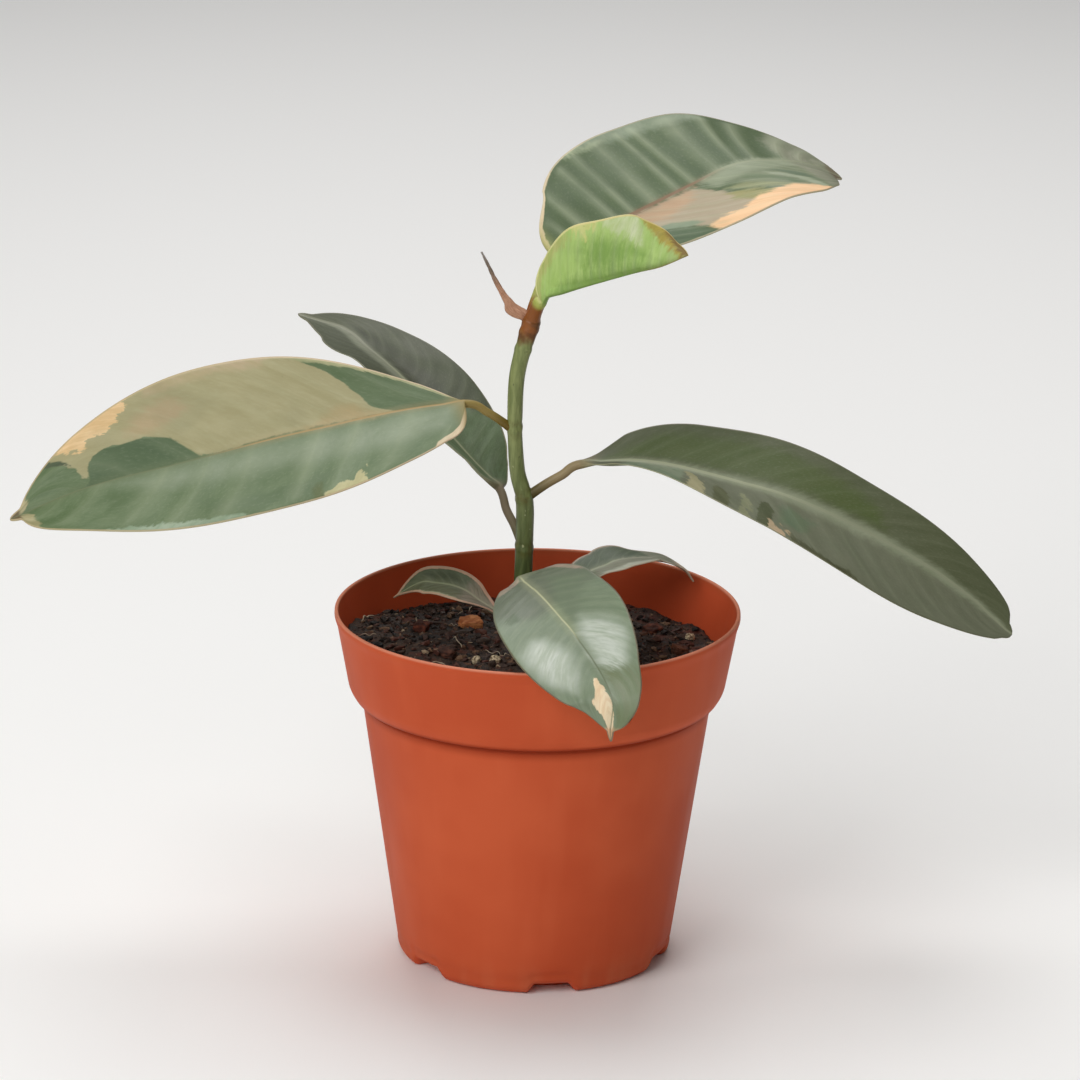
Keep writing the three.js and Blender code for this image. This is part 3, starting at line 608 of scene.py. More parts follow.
# crease              the share of a half over which it bends up from the midrib
# evenness            how evenly the columns lie along the blade; the rest of them crowd to its ends
# seat_...            how much the petiole thickens at its seat on the stem, and how far that reaches
# wave                the margin's slow waves; wave_pitch is their radians over the blade
# keel, groove_...    the midrib's ridge below, as a share of the petiole's radius, and its channel above
BLADE = dict(
    half_thickness=0.27, edge_half_thickness=0.12, point_half_width=0.18, crease=0.12, stalk_falloff=8,
    columns=150, least_petiole_columns=8, rows=72, row_crowding=1.3, evenness=0.35,
    seat_swelling=0.35, seat_reach=2.5, wave=0.35, wave_pitch=17, rib_unevenness=0.16,
    keel=0.85, keel_spread=1.3, groove_depth=0.1, groove_reach=0.45,
)
USUAL = dict(drip_length=0.035, fold_ramp=0.08, blend=0.07, lines=0.02, petiole_change=(-0.85, -0.35))
BOX_LOW, BOX_HIGH = (np.array(corner) / MM for corner in CAD_BOX)
BOX_MARGIN = 0.05


def trait(leaf, key):
    """A leaf's own value, or the usual one."""
    return leaf.get(key, USUAL[key]) if key in USUAL else leaf[key]


# ---------------------------------------------------------------- leaves: their shape

def half_outline(u, widest_at, base, tip, drip, drip_length):
    """Half width of one half of a blade, as a share of its widest half width."""
    end = 1 - drip_length
    rising = np.sin(np.pi / 2 * np.clip(u / widest_at, 0, 1)) ** base
    falling = np.cos(np.pi / 2 * np.clip((u - widest_at) / (end - widest_at), 0, 1)) ** tip
    point = drip * np.sqrt(np.clip((1 - u) / (2 * drip_length), 0, 1))
    return np.where(u < widest_at, rising, ((falling ** 3 + point ** 3) / (1 + drip ** 3)) ** (1 / 3))


def leaf_stations(leaf):
    """The leaf's axis, with the share of its length and the share of the blade at each column."""
    axis = Axis(leaf["petiole"] + leaf["midrib"])
    blade_start = axis.share_of_point(len(leaf["petiole"]))
    petiole_columns = max(int(BLADE["columns"] * blade_start), BLADE["least_petiole_columns"])
    on_petiole = np.linspace(0, 1, petiole_columns, endpoint=False)
    on_blade = np.linspace(0, 1, BLADE["columns"] - petiole_columns + 1)
    even = BLADE["evenness"]
    u = even * on_blade + (1 - even) * (1 - np.cos(np.pi * on_blade)) / 2
    share = np.concatenate([blade_start * on_petiole, blade_start + (1 - blade_start) * u])
    return axis, share, np.concatenate([on_petiole - 1, u])


def leaf_directions(leaf, axis, share, u):
    """Across the blade and up from it at each column, turned about the midrib by the leaf's roll."""
    forward = axis.direction(share)
    level = unit(np.cross(forward, UP))
    up = np.cross(level, forward)
    at_base, at_middle, at_tip = leaf["roll"]
    roll = at_base * (1 - u) * (1 - 2 * u) + at_middle * 4 * u * (1 - u) + at_tip * u * (2 * u - 1)
    roll = np.radians(roll)[:, None]
    across = level * np.cos(roll) + up * np.sin(roll)
    return across, np.cross(across, forward)


def stalk_radius(leaf, axis, share, along):
    """The petiole's radius, a little thicker at its seat, which fades out along the blade."""
    fading = (1 - np.maximum(along, 0)) ** BLADE["stalk_falloff"]
    swelling = 1 + BLADE["seat_swelling"] * np.exp(-share * axis.length / BLADE["seat_reach"])
    return leaf["petiole_radius"] * fading * np.where(along < 0, swelling, 1)


def leaf_width(leaf, u, v, stalk):
    """The half width of the half that each place is on, never less than the stalk."""
    halves = []
    for side in (0, 1):
        spread = leaf["half_width"][side] * half_outline(
            u, leaf["widest_at"][side], leaf["base"][side], leaf["tip"][side], leaf["drip"],
            trait(leaf, "drip_length"))
        halves.append(np.maximum(np.maximum(spread, stalk), BLADE["point_half_width"]))
    return np.where(v[None, :] < 0, halves[0][:, None], halves[1][:, None])


def folded(leaf, u, v, width):
    """How far out and how high each place lies, with the halves folded up along a rounded crease."""
    fold = leaf["fold"][0] + (leaf["fold"][1] - leaf["fold"][0]) * u
    fold = np.radians(np.maximum(fold * np.minimum(u / trait(leaf, "fold_ramp"), 1), 0.01))[:, None]
    crease = BLADE["crease"]
    turn = fold * np.minimum(np.abs(v) / crease, 1)
    flat = np.maximum(np.abs(v) - crease, 0)
    out = width * (crease / fold * np.sin(turn) + flat * np.cos(turn))
    rise = width * (crease / fold * (1 - np.cos(turn)) + flat * np.sin(turn))
    return out, rise


def rib_phase(leaf, seed, along, v, rib_v):
    """Grows by one from each side rib to the next, unevenly, and the two halves are out of step."""
    left, right = (np.interp(np.maximum(along, 0), (0, 1), ends)[:, None] for ends in leaf["slant"])
    phase = leaf["laterals"] * (along[:, None] - np.where(v < 0, left, right) * np.abs(v) ** 1.2)
    return phase + BLADE["rib_unevenness"] * np.sin(2.3 * phase + seed) + 0.5 * (v > rib_v)


def leaf_swells(leaf, seed, along, v, facts, width):
    """How far the blade swells between its side ribs, and waves at its margin."""
    on_blade = smooth_step(np.maximum(along, 0), 0.02, 0.1)[:, None]
    quiet = smooth_step(np.abs(facts["rib"]), 0.5, 4) * smooth_step(facts["edge"], 0.3, 3.5) * on_blade
    ripple = np.where(v < 0, *leaf["relief"]) * np.cos(2 * np.pi * facts["phase"]) * quiet
    turn = BLADE["wave_pitch"] * along[:, None] + 1.7 * np.sign(v) + seed
    wave = BLADE["wave"] * on_blade * np.abs(v) ** 3 * np.sin(turn)
    return ripple + wave * smooth_step(width, 2, 9)


def skin_heights(leaf, u, v, stalk, rib):
    """How far the upper skin, with its groove, and the lower skin, with its keel, lie from the middle."""
    thin = BLADE["half_thickness"] + (BLADE["edge_half_thickness"] - BLADE["half_thickness"]) * np.abs(v) ** 4
    round_stalk = stalk[:, None] * np.sqrt(np.maximum(1 - v ** 2, 0)) + 0.02
    on_stalk = 1 - smooth_step(u, 0.0, trait(leaf, "blend"))[:, None]
    groove = BLADE["groove_depth"] * np.exp(-(rib / BLADE["groove_reach"]) ** 2)
    keel = BLADE["keel"] * leaf["petiole_radius"] * (1 - u[:, None]) ** 1.1
    keel_shape = np.maximum(1 - (rib / (BLADE["keel_spread"] * keel + 0.3)) ** 2, 0) ** 2
    above = np.maximum(on_stalk * round_stalk, thin - groove * (1 - on_stalk))
    below = np.maximum(on_stalk * round_stalk, thin + keel * keel_shape * (1 - on_stalk))
    return above, below


def leaf_surface(leaf, seed):
    """A grid of the leaf's middle, normals and skin heights, and of the facts that its colours follow."""
    axis, share, along = leaf_stations(leaf)
    u = np.maximum(along, 0)
    row = np.linspace(-1, 1, BLADE["rows"] + 1)
    v = np.sign(row) * np.abs(row) ** BLADE["row_crowding"]
    stalk = stalk_radius(leaf, axis, share, along)
    width = leaf_width(leaf, u, v, stalk)
    rib_v = np.interp(along, *zip(*leaf["rib_path"]))[:, None]
    facts = dict(
        along=np.broadcast_to(along[:, None], width.shape), across=np.broadcast_to(v, width.shape),
        rib=(v[None, :] - rib_v) * width, edge=width * (1 - np.abs(v)),
        phase=rib_phase(leaf, seed, along, v, rib_v),
        band=np.broadcast_to(np.where(v < 0, *leaf["bands"]), width.shape))

    across, up = leaf_directions(leaf, axis, share, u)
    out, rise = folded(leaf, u, v, width)
    rise = rise + leaf_swells(leaf, seed, along, v, facts, width)
    middle = axis.at(share)[:, None, :] + across[:, None, :] * (np.sign(v) * out)[..., None]
    middle = middle + up[:, None, :] * rise[..., None]
    above, below = skin_heights(leaf, u, v, stalk, facts["rib"])
    blade_length = axis.length * (1 - share[np.argmax(along >= 0)])
    return middle, grid_normals(middle), above, below, facts, blade_length


def make_leaf(name, leaf, seed):
    """One leaf with its petiole, as one closed skin, coloured by its own patches."""
    middle, normals, above, below, facts, blade_length = leaf_surface(leaf, seed)
    bm, column, row, side = closed_card(middle.shape[0] - 1, middle.shape[1] - 1)
    height = np.where(side > 0, above[column, row], -below[column, row])
    places = middle[column, row] + normals[column, row] * height[:, None]
    shape_skin(bm, np.clip(places, BOX_LOW + BOX_MARGIN, BOX_HIGH - BOX_MARGIN))

    values = {key: fact[column, row] for key, fact in facts.items()}
    values["under"] = (side < 0).astype(float)
    size = np.array([blade_length, sum(leaf["half_width"]) / 2])
    place = facts["along"] * size[0], facts["across"] * size[1]
    for index, (*_, outline) in enumerate(leaf["patches"]):
        values[f"patch_{index}"] = distance_into(np.array(outline) / 100 * size, *place)[column, row]
    piece = finish_piece(bm, name + "_blade", leaf_material(name, leaf, seed), [name], values=values)
    lay_uv(piece, values["along"], values["across"])


# ---------------------------------------------------------------- leaves: their colours

def leaf_patches(shader, leaf, skin):
    """The ground and each patch over it, in two tones that follow the streaks, with edges that wander."""
    colour = shader.mix(skin["toning"], *leaf["ground"])
    wander = shader.math("ADD", skin["streak"], shader.times(skin["spots"], 0.4))
    wander = shader.math("SUBTRACT", wander, 0.7)
    for index, (first, second, softness, ragged, _) in enumerate(leaf["patches"]):
        field = shader.math("MULTIPLY_ADD", wander, 4 * ragged, shader.attribute(f"patch_{index}"))
        inside = shader.step(field, -softness, softness)
        colour = shader.mix(inside, colour, shader.mix(skin["toning"], first, second))
    return colour


def leaf_side_ribs(shader, leaf, skin, colour):
    """A broad paler band and a thin line along each side rib; the band is partly the rib's paler tissue and
    partly painted sheen on the swelling blade.
    """
    turn = shader.times(skin["phase"], 2 * math.pi)
    crest = shader.math("MULTIPLY_ADD", shader.math("COSINE", turn), 0.5, 0.5)
    clear = shader.times(shader.step(skin["edge"], 0.4, 3.0), shader.step(skin["along"], 0.02, 0.08))
    band = shader.times(shader.math("POWER", crest, 1.8), shader.attribute("band"))
    band = shader.times(shader.times(band, shader.step(skin["cloud"], 0.3, 0.7, 0.5, 1.4)), clear)
    line = shader.times(shader.math("POWER", crest, 40.0), clear)
    # Partly painted sheen: the paler band along each side rib also stands in for light on the blade's swells.
    colour = shader.mix(band, colour, (180, 188, 156))
    return shader.over(colour, (190, 194, 160), line, 2 * trait(leaf, "lines")), line


def leaf_mottling(shader, skin, colour):
    """A fine net of small veins, darker clouds and specks."""
    net = shader.vector(shader.times(skin["phase"], 6.0), shader.times(skin["across"], 14.0))
    net = shader.noise(net, 2.2, detail=2.0)
    colour = shader.over(colour, (200, 204, 180), shader.step(net, 0.5, 0.75), 0.06)
    colour = shader.over(colour, (70, 84, 56), shader.step(skin["cloud"], 0.5, 0.7), 0.12)
    return shader.over(colour, (74, 80, 56), shader.step(skin["spots"], 0.70, 0.76), 0.2), net


def leaf_midrib(shader, leaf, skin, colour):
    """The midrib, and the softer shade of its colour beside it."""
    size = shader.math("ABSOLUTE", skin["rib"])
    reach = shader.step(skin["along"], 0.0, 1.0, *leaf["rib_reach"])
    on_rib = shader.step(shader.math("SUBTRACT", reach, size), -0.18, 0.18)
    rib_colour = shader.mix(shader.step(skin["along"], *leaf["rib_change"]), *leaf["rib_colours"])
    colour = shader.over(colour, rib_colour, shader.step(size, 0.5, 2.4, 1.0, 0.0), 0.18)
    return shader.over(colour, rib_colour, on_rib, 0.85)


def leaf_margin(shader, leaf, skin, colour):
    """A pale line of uneven width along the edge of the blade."""
    width = leaf["margin_width"]
    reach = shader.math("MULTIPLY_ADD", skin["streak"], 0.7 * width, 0.6 * width)
    on_margin = shader.step(shader.math("SUBTRACT", reach, skin["edge"]), -0.12, 0.12)
    on_margin = shader.times(on_margin, shader.step(skin["along"], 0.0, 0.02))
    margin_colour = shader.mix(shader.step(skin["along"], 0.15, 0.6), *leaf["margin"])
    return shader.over(colour, margin_colour, on_margin, 0.8)


def leaf_petiole(shader, leaf, skin, colour):
    """The petiole's colour, which runs a little way into the blade."""
    place = shader.math("MULTIPLY_ADD", skin["spots"], 0.12, shader.math("SUBTRACT", skin["along"], 0.06))
    stalk = shader.mix(shader.step(place, *trait(leaf, "petiole_change")), *leaf["petiole_colours"])
    return shader.mix(shader.step(skin["along"], -0.02, 0.05, 1.0, 0.0), colour, stalk)


def leaf_material(name, leaf, seed):
    """Waxy variegated leaf: patches with streaked edges, a few of them painted sheen, side ribs with partly
    painted sheen, pale midrib and margin.
    """
    shader = Shader(name + "_skin", roughness=0.4, specular=0.32)
    skin = {key: shader.attribute(key) for key in ("along", "across", "rib", "edge", "phase")}
    streaks = shader.vector(skin["phase"], shader.times(skin["across"], 0.9), seed * 3.7)
    skin["streak"] = shader.noise(streaks, 5.0, detail=4.0, rough=0.6)
    broad_streak = shader.noise(streaks, 1.4, detail=2.0)
    skin["toning"] = shader.step(
        shader.math("MULTIPLY_ADD", skin["streak"], 0.5, shader.times(broad_streak, 0.5)), 0.36, 0.64)
    skin["spots"] = shader.noise(shader.place(), 420.0, detail=3.0, rough=0.65)
    skin["cloud"] = shader.noise(shader.place(), 60.0, detail=2.0)

    colour = leaf_patches(shader, leaf, skin)
    colour, line = leaf_side_ribs(shader, leaf, skin, colour)
    colour, net = leaf_mottling(shader, skin, colour)
    colour = leaf_midrib(shader, leaf, skin, colour)
    colour = leaf_margin(shader, leaf, skin, colour)
    if name != "leaf_new":
        colour = shader.over(colour, (168, 178, 142), shader.attribute("under"), 0.45)
    colour = leaf_petiole(shader, leaf, skin, colour)

    relief = shader.math("MULTIPLY_ADD", net, 0.35, shader.times(line, -25 * trait(leaf, "lines")))
    normal = shader.bump(skin["spots"], 0.015, 0.4, under=shader.bump(relief, 0.05, 0.6))
    return shader.finish(colour, shader.step(skin["cloud"], 0.3, 0.75, *leaf["gloss"]), normal)


def make_leaves():
    for seed, (name, leaf) in enumerate(LEAVES.items(), start=1):
        make_leaf(name, leaf, seed)


# ---------------------------------------------------------------- stem

# height, x, radius
STEM = [
    (55.5, -4.3, 1.0), (69, -4.1, 2.2), (85, -4.0, 2.5), (104, -3.9, 2.4), (115, -3.7, 2.35),
    (125.5, -3.8, 2.35), (133, -5.7, 2.05), (143, -6.5, 1.95), (152, -6.5, 2.0), (158.5, -6.2, 2.05),
    (164, -5.2, 2.1), (169.5, -3.8, 2.25), (174, -2.5, 2.5), (177, -1.7, 1.5),
]
STEM_RINGS = [88, 112.5, 126.5, 145, 166.5, 171.5]        # heights of the rings that leaves left
BROWN_RINGS = STEM_RINGS[1:4]
RING = dict(tilt=0.7, swell=0.16, swell_reach=0.8, dip=0.07, dip_reach=0.5, dip_above=1.5)
BARK = dict(wrinkle=0.09, wrinkle_scale=(1.8, 0.16), flute=0.03, flutes=7)


def make_stem():
    """One curved stem with a low ring at each node, slightly fluted between them."""
    bm = unit_tube(48, 420)
    axis = Axis([(x, 0, z) for z, x, _ in STEM])
    places = np.array([vertex.co for vertex in bm.verts])
    share = places[:, 2]
    centre = axis.at(share)
    forward = axis.direction(share)
    across = unit(np.cross(REARWARD, forward))
    deep = np.cross(forward, across)
    height = centre[:, 2]
    radius = np.interp(height, [z for z, _, _ in STEM], [r for _, _, r in STEM])
    angle = np.arctan2(places[:, 1], places[:, 0])
    for ring in STEM_RINGS:
        gap = height - ring - RING["tilt"] * np.sin(angle + ring)
        radius = radius + RING["swell"] * np.exp(-(gap / RING["swell_reach"]) ** 2)
        radius = radius - RING["dip"] * np.exp(-((gap - RING["dip_above"]) / RING["dip_reach"]) ** 2)
    round_it, along_it = BARK["wrinkle_scale"]
    wrinkle = np.array([noise.noise(Vector((math.cos(a) * round_it, math.sin(a) * round_it, z * along_it)))
                        for a, z in zip(angle, height)])
    radius = radius + BARK["wrinkle"] * wrinkle + BARK["flute"] * np.sin(BARK["flutes"] * angle)
    outward = across * np.cos(angle)[:, None] + deep * np.sin(angle)[:, None]
    shape_skin(bm, centre + outward * (radius * np.hypot(places[:, 0], places[:, 1]))[:, None])
    piece = finish_piece(bm, "stem_skin", stem_material(), ["main_stem"],
                         values=dict(height=height))
    lay_uv(piece, angle / (2 * math.pi) + 0.5, share)


def stem_material():
    """Green bark: dark and spotted low down, lighter higher up, brown where the newest leaves join."""
    shader = Shader("green_bark", roughness=0.45, specular=0.4)
    height = shader.attribute("height")
    place = shader.place()
    grain = shader.noise(shader.stretched(place, (1, 1, 0.14)), 900.0, detail=4.0, rough=0.6)
    blotch = shader.noise(place, 260.0, detail=3.0)
    spots = shader.noise(shader.stretched(place, (1, 1, 0.7)), 620.0, detail=1.0)
    low = shader.grained(grain, (80, 95, 46), (60, 74, 32))
    high = shader.grained(grain, (140, 148, 92), (114, 124, 72))
    colour = shader.mix(shader.step(height, 96, 150), low, high)
    for ring in BROWN_RINGS:
        gap = shader.math("ABSOLUTE", shader.math("SUBTRACT", height, ring))
        near = shader.step(gap, 0.5, 3.4, 0.75, 0.0)
        colour = shader.over(colour, (98, 88, 36), near, shader.step(blotch, 0.3, 0.6))
    wander = shader.math("MULTIPLY_ADD", blotch, 7.0, shader.math("SUBTRACT", height, 3.5))
    brown = shader.grained(blotch, (142, 82, 32), (104, 62, 20))
    colour = shader.mix(shader.step(wander, 167.5, 171.5), colour, brown)
    pale_spot = shader.step(spots, 0.72, 0.76)
    colour = shader.over(colour, (186, 190, 140), pale_spot, 0.7)
    colour = shader.over(colour, (46, 44, 22), shader.step(spots, 0.24, 0.29, 1.0, 0.0), 0.6)
    spot_relief = shader.math("ADD", pale_spot, shader.times(blotch, 0.5))
    normal = shader.bump(spot_relief, 0.1, 0.6, under=shader.bump(grain, 0.08, 0.7))
    return shader.finish(colour, shader.step(grain, 0.3, 0.7, 0.38, 0.55), normal)


# ---------------------------------------------------------------- dried stipule

# x, z, half width, half width of the flap's lower side
STIPULE = [
    (-3.0, 173.8, 1.3, 0.9), (-4.6, 175.8, 1.5, 1.5), (-6.3, 176.9, 1.5, 2.0), (-7.7, 178.0, 1.3, 2.1),
    (-8.6, 179.3, 1.1, 1.1), (-10, 181.4, 0.8, 0.8), (-12.1, 185.2, 0.55, 0.55), (-13.9, 189.0, 0.38, 0.38),
    (-15.7, 192.6, 0.18, 0.18),
]


def make_stipule():
    """A papery sheath, split and curled, that tapers to a dry point."""
    columns, rows, half_thickness = 60, 16, 0.1
    axis = Axis([(x, 0, z) for x, z, _, _ in STIPULE])
    share = np.linspace(0, 1, columns + 1)
    v = np.linspace(-1, 1, rows + 1)
    stations = np.linspace(0, 1, len(STIPULE))
    turn = axis.turn_of(share)
    upper = np.interp(turn, stations, [u for _, _, u, _ in STIPULE])
    lower = np.interp(turn, stations, [w for _, _, _, w in STIPULE])
    forward = axis.direction(share)
    across = unit(np.cross(REARWARD, forward))
    width = np.where(v[None, :] < 0, lower[:, None], upper[:, None])
    curl = 1.1 * (1 - 0.5 * share)[:, None]
    out = width * np.sin(curl * v) / np.sin(curl)
    bulge = -width * (np.cos(curl * v) - np.cos(curl)) / np.sin(curl) * 0.55
    crinkle = 0.12 * np.sin(23 * share)[:, None] * np.cos(5 * v) + 0.08 * np.sin(61 * share)[:, None] * v
    middle = axis.at(share)[:, None, :] + across[:, None, :] * out[..., None]
    middle = middle + REARWARD * (bulge + crinkle)[..., None]
    normals = grid_normals(middle)
    bm, column, row, side = closed_card(columns, rows)
    shape_skin(bm, middle[column, row] + normals[column, row] * (half_thickness * side)[:, None])
    values = dict(along=share[column], across=v[row])
    piece = finish_piece(bm, "stipule_sheath", stipule_material(), ["dried_stipule"],
                         values=values)
    lay_uv(piece, values["along"], values["across"])


def stipule_material():
    """Dry brown paper with fibres along it, greyer to the tip."""
    shader = Shader("dry_sheath", roughness=0.7, specular=0.3)
    along, across = shader.attribute("along"), shader.attribute("across")
    fibres = shader.noise(shader.vector(shader.times(along, 6.0), shader.times(across, 7.0)), 2.0, detail=4.0,
                          rough=0.65)
    colour = shader.grained(fibres, (206, 160, 132), (160, 112, 84))
    colour = shader.mix(shader.step(along, 0.45, 0.8), colour, (128, 112, 98))
    colour = shader.mix(shader.step(along, 0.8, 1.0), colour, (156, 148, 142))
    colour = shader.mix(shader.step(along, 0.02, 0.16, 0.8, 0.0), colour, (118, 66, 32))
    return shader.finish(colour, None, shader.bump(fibres, 0.12, 0.8))


# ---------------------------------------------------------------- pot

POT = dict(
    height=95.5, rim_radius=53.8, wall=1.0, rim_wall=0.95, lip_height=3.5, lip_flare=0.7,
    collar_height=22, collar_foot_radius=50, body_top_radius=46.5, step_height=1.6, step_overhang=2.0,
    groove_depth=0.3, groove_height=1.0, base_radius=36.3, foot_rounding=3, floor=1.2,
    foot_line_height=4.6, foot_line_depth=0.22,
)
DRAIN = dict(
    count=6, first_azimuth=-82, width=18, height=2.6, inner_radius=30, blend_height=9.0, edge_softness=2.2,
)
STEP_TOP = POT["height"] - POT["collar_height"]
STEP_BOTTOM = STEP_TOP - POT["step_height"]
STEP_EDGE = (POT["body_top_radius"] + POT["step_overhang"], STEP_BOTTOM + 0.6)      # radius, height
COLLAR_FOOT = (POT["collar_foot_radius"], STEP_TOP + 1.5)
INNER_COLLAR_FOOT = (POT["collar_foot_radius"] - POT["wall"], STEP_TOP + 2.6)
INNER_BODY_TOP = (POT["body_top_radius"] - POT["wall"], STEP_BOTTOM + 0.6)


def body_radius(height):
    return POT["base_radius"] + (POT["body_top_radius"] - POT["base_radius"]) * height / STEP_BOTTOM


def arc(centre, radius, start, end, count):
    """Points on an arc in the (radius, height) plane, between two angles in degrees."""
    return [(centre[0] + radius * math.cos(math.radians(a)), centre[1] + radius * math.sin(math.radians(a)))
            for a in np.linspace(start, end, count)]


def densified(points, spacing):
    """The same outline with no straight longer than spacing."""
    dense = []
    for (ar, ah), (br, bh) in zip(points, points[1:]):
        pieces = max(1, math.ceil(math.hypot(br - ar, bh - ah) / spacing))
        dense += [(ar + (br - ar) * k / pieces, ah + (bh - ah) * k / pieces) for k in range(pieces)]
    return dense + [points[-1]]


def rounded(corners):
    """An outline from (radius, height, rounding) corners, each with a short curve of its own reach."""
    points = [np.array(corner[:2]) for corner in corners]
    smooth = [tuple(points[0])]
    for before, corner, after, (*_, rounding) in zip(points, points[1:], points[2:], corners[1:]):
        to_before, to_after = before - corner, after - corner
        reach = min(rounding, np.linalg.norm(to_before) / 2.2, np.linalg.norm(to_after) / 2.2)
        start = corner + to_before / np.linalg.norm(to_before) * reach
        end = corner + to_after / np.linalg.norm(to_after) * reach
        for t in np.linspace(0, 1, 7):
            smooth.append(tuple((1 - t) ** 2 * start + 2 * t * (1 - t) * corner + t ** 2 * end))
    return smooth + [tuple(points[-1])]


def pot_outline():
    """The pot's section: from the middle of its underside up the outside, over the rim and down inside."""
    rounding, wall, floor, top = POT["foot_rounding"], POT["wall"], POT["floor"], POT["height"]
    foot, body, rim = body_radius(rounding), POT["body_top_radius"], POT["rim_radius"]
    line_radius, line_height = body_radius(POT["foot_line_height"]), POT["foot_line_height"]
    groove, lip = body - POT["groove_depth"], rim - POT["lip_flare"]
    drain_start, drain_end = DRAIN["inner_radius"] - 0.8, DRAIN["inner_radius"] + 0.2
    outside = [
        (0, 0), (drain_start, 0), (drain_end, 0),
        *arc((foot - rounding, rounding), rounding, -90, -4, 9),
        (line_radius - POT["foot_line_depth"], line_height), (line_radius, line_height + 0.35),
    ]
    shoulder = rounded([
        (line_radius, line_height + 0.35, 0),
        (body - 0.1, STEP_BOTTOM - POT["groove_height"], 0.4),
        (groove, STEP_BOTTOM - 0.4 * POT["groove_height"], 0.3),
        (groove, STEP_BOTTOM + 0.3, 0.25),
        (*STEP_EDGE, 0.6),
        (*COLLAR_FOOT, 1.6),
        (lip, top - POT["lip_height"], 1.2),
        (rim - 0.15, top - 1.9, 0.3),
        (rim, top - 1.3, 0.2),
        (rim - 0.05, top, 0.6),
        (rim - POT["rim_wall"], top, 0.35),
        (lip - wall, top - POT["lip_height"], 1.2),
        (*INNER_COLLAR_FOOT, 1.6),
        (*INNER_BODY_TOP, 1.6),
        (foot - wall, floor + rounding, 0),
    ])
    inside = [
        *arc((foot - rounding, rounding), rounding - wall, 0, -90, 7),
        (drain_end - floor, floor), (drain_start - floor, floor), (0, floor),
    ]
    return densified(outside + shoulder[1:] + inside, 2.5)


def make_pot():
    """The moulded pot: its section spun round, with six drain recesses pushed up into the foot."""
    bm = spun(pot_outline(), 360)
    push_up_drains(bm)
    inside = [float(is_inside(vertex.co)) for vertex in bm.verts]
    finish_piece(bm, "nursery_pot_moulding", pot_material(), ["nursery_pot"],
                 values=dict(inside=inside))


def is_inside(place):
    """Whether a point of the pot's skin lies on its inner wall, below the rim."""
    wall = [(POT["base_radius"], 0), (POT["body_top_radius"], STEP_BOTTOM), STEP_EDGE, COLLAR_FOOT,
            (POT["rim_radius"] - 0.4, POT["height"])]
    radii, heights = zip(*wall)
    middle = np.interp(place.z, heights, radii) - POT["wall"] / 2
    return math.hypot(place.x, place.y) < middle and place.z < POT["height"] - 0.6


def push_up_drains(bm):
    """Raises the underside, the foot of the wall and the floor inside within each drain recess."""
    spacing, soft, half = 360 / DRAIN["count"], DRAIN["edge_softness"], DRAIN["width"] / 2
    for vertex in bm.verts:
        radius = math.hypot(vertex.co.x, vertex.co.y)
        if vertex.co.z > DRAIN["blend_height"] or radius < DRAIN["inner_radius"] / 2:
            continue
        azimuth = math.degrees(math.atan2(vertex.co.y, vertex.co.x))
        turn = (azimuth - DRAIN["first_azimuth"] + spacing / 2) % spacing - spacing / 2
        inside = 1 - smooth_step(abs(turn), half - soft, half + soft)
        outer_skin = vertex.co.z < POT["floor"] / 2 or radius > body_radius(vertex.co.z) - POT["wall"] / 2
        start = DRAIN["inner_radius"] - (0 if outer_skin else POT["floor"])
        inside = inside * smooth_step(radius, start - 0.6, start + 0.1)
        vertex.co.z += DRAIN["height"] * inside * (1 - vertex.co.z / DRAIN["blend_height"])


def pot_material():
    """Satin terracotta-coloured plastic: faint flow marks, a painted highlight on the rim, a painted glow on
    the inner wall, a painted shadow under the collar's step and a little dust.
    """
    shader = Shader("terracotta_plastic", roughness=0.55, specular=0.08)
    place = shader.place()
    separate = shader.node("SeparateXYZ")
    shader.feed(separate.inputs[0], place)
    height = separate.outputs[2]
    cloud = shader.noise(place, 22.0, detail=3.0)
    fine = shader.noise(place, 700.0, detail=3.0, rough=0.6)
    flow = shader.noise(shader.stretched(place, (1, 1, 0.12)), 90.0, detail=3.0)
    colour = shader.grained(cloud, (202, 92, 56), (192, 82, 48))
    colour = shader.over(colour, (214, 106, 70), shader.step(flow, 0.5, 0.7), 0.15)
    # Painted highlight: the top of the rim is painted paler where light catches it.
    rim = shader.step(height, (POT["height"] - 0.75) * MM, (POT["height"] - 0.1) * MM)
    colour = shader.over(colour, (242, 180, 150), rim, 0.4)
    # Painted light: the inner wall is a slightly brighter, redder tone of the same plastic, for light shining
    # through the thin wall.
    inner = shader.grained(cloud, (212, 92, 56), (202, 83, 48))
    colour = shader.over(colour, inner, shader.attribute("inside"), 0.9)
    # Painted shadow: a dark band right under the collar's step, fading down the wall below it, where the
    # collar shades the body.
    below_step = shader.math("SUBTRACT", (STEP_BOTTOM + 0.45) * MM, height)
    fades_up = shader.step(below_step, -1.6 * MM, -0.1 * MM)
    fades_down = shader.step(below_step, 0.2 * MM, 4.2 * MM, 0.8, 0.0)
    colour = shader.over(colour, (140, 44, 18), fades_up, fades_down)
    dust = shader.times(shader.step(height, 0.0, 12 * MM, 1.0, 0.0), shader.step(flow, 0.45, 0.7))
    colour = shader.over(colour, (206, 128, 92), dust, 0.25)
    normal = shader.bump(flow, 0.06, 0.4, under=shader.bump(fine, 0.02, 0.5))
    return shader.finish(colour, shader.step(flow, 0.3, 0.7, 0.46, 0.6), normal)


# ---------------------------------------------------------------- potting mix

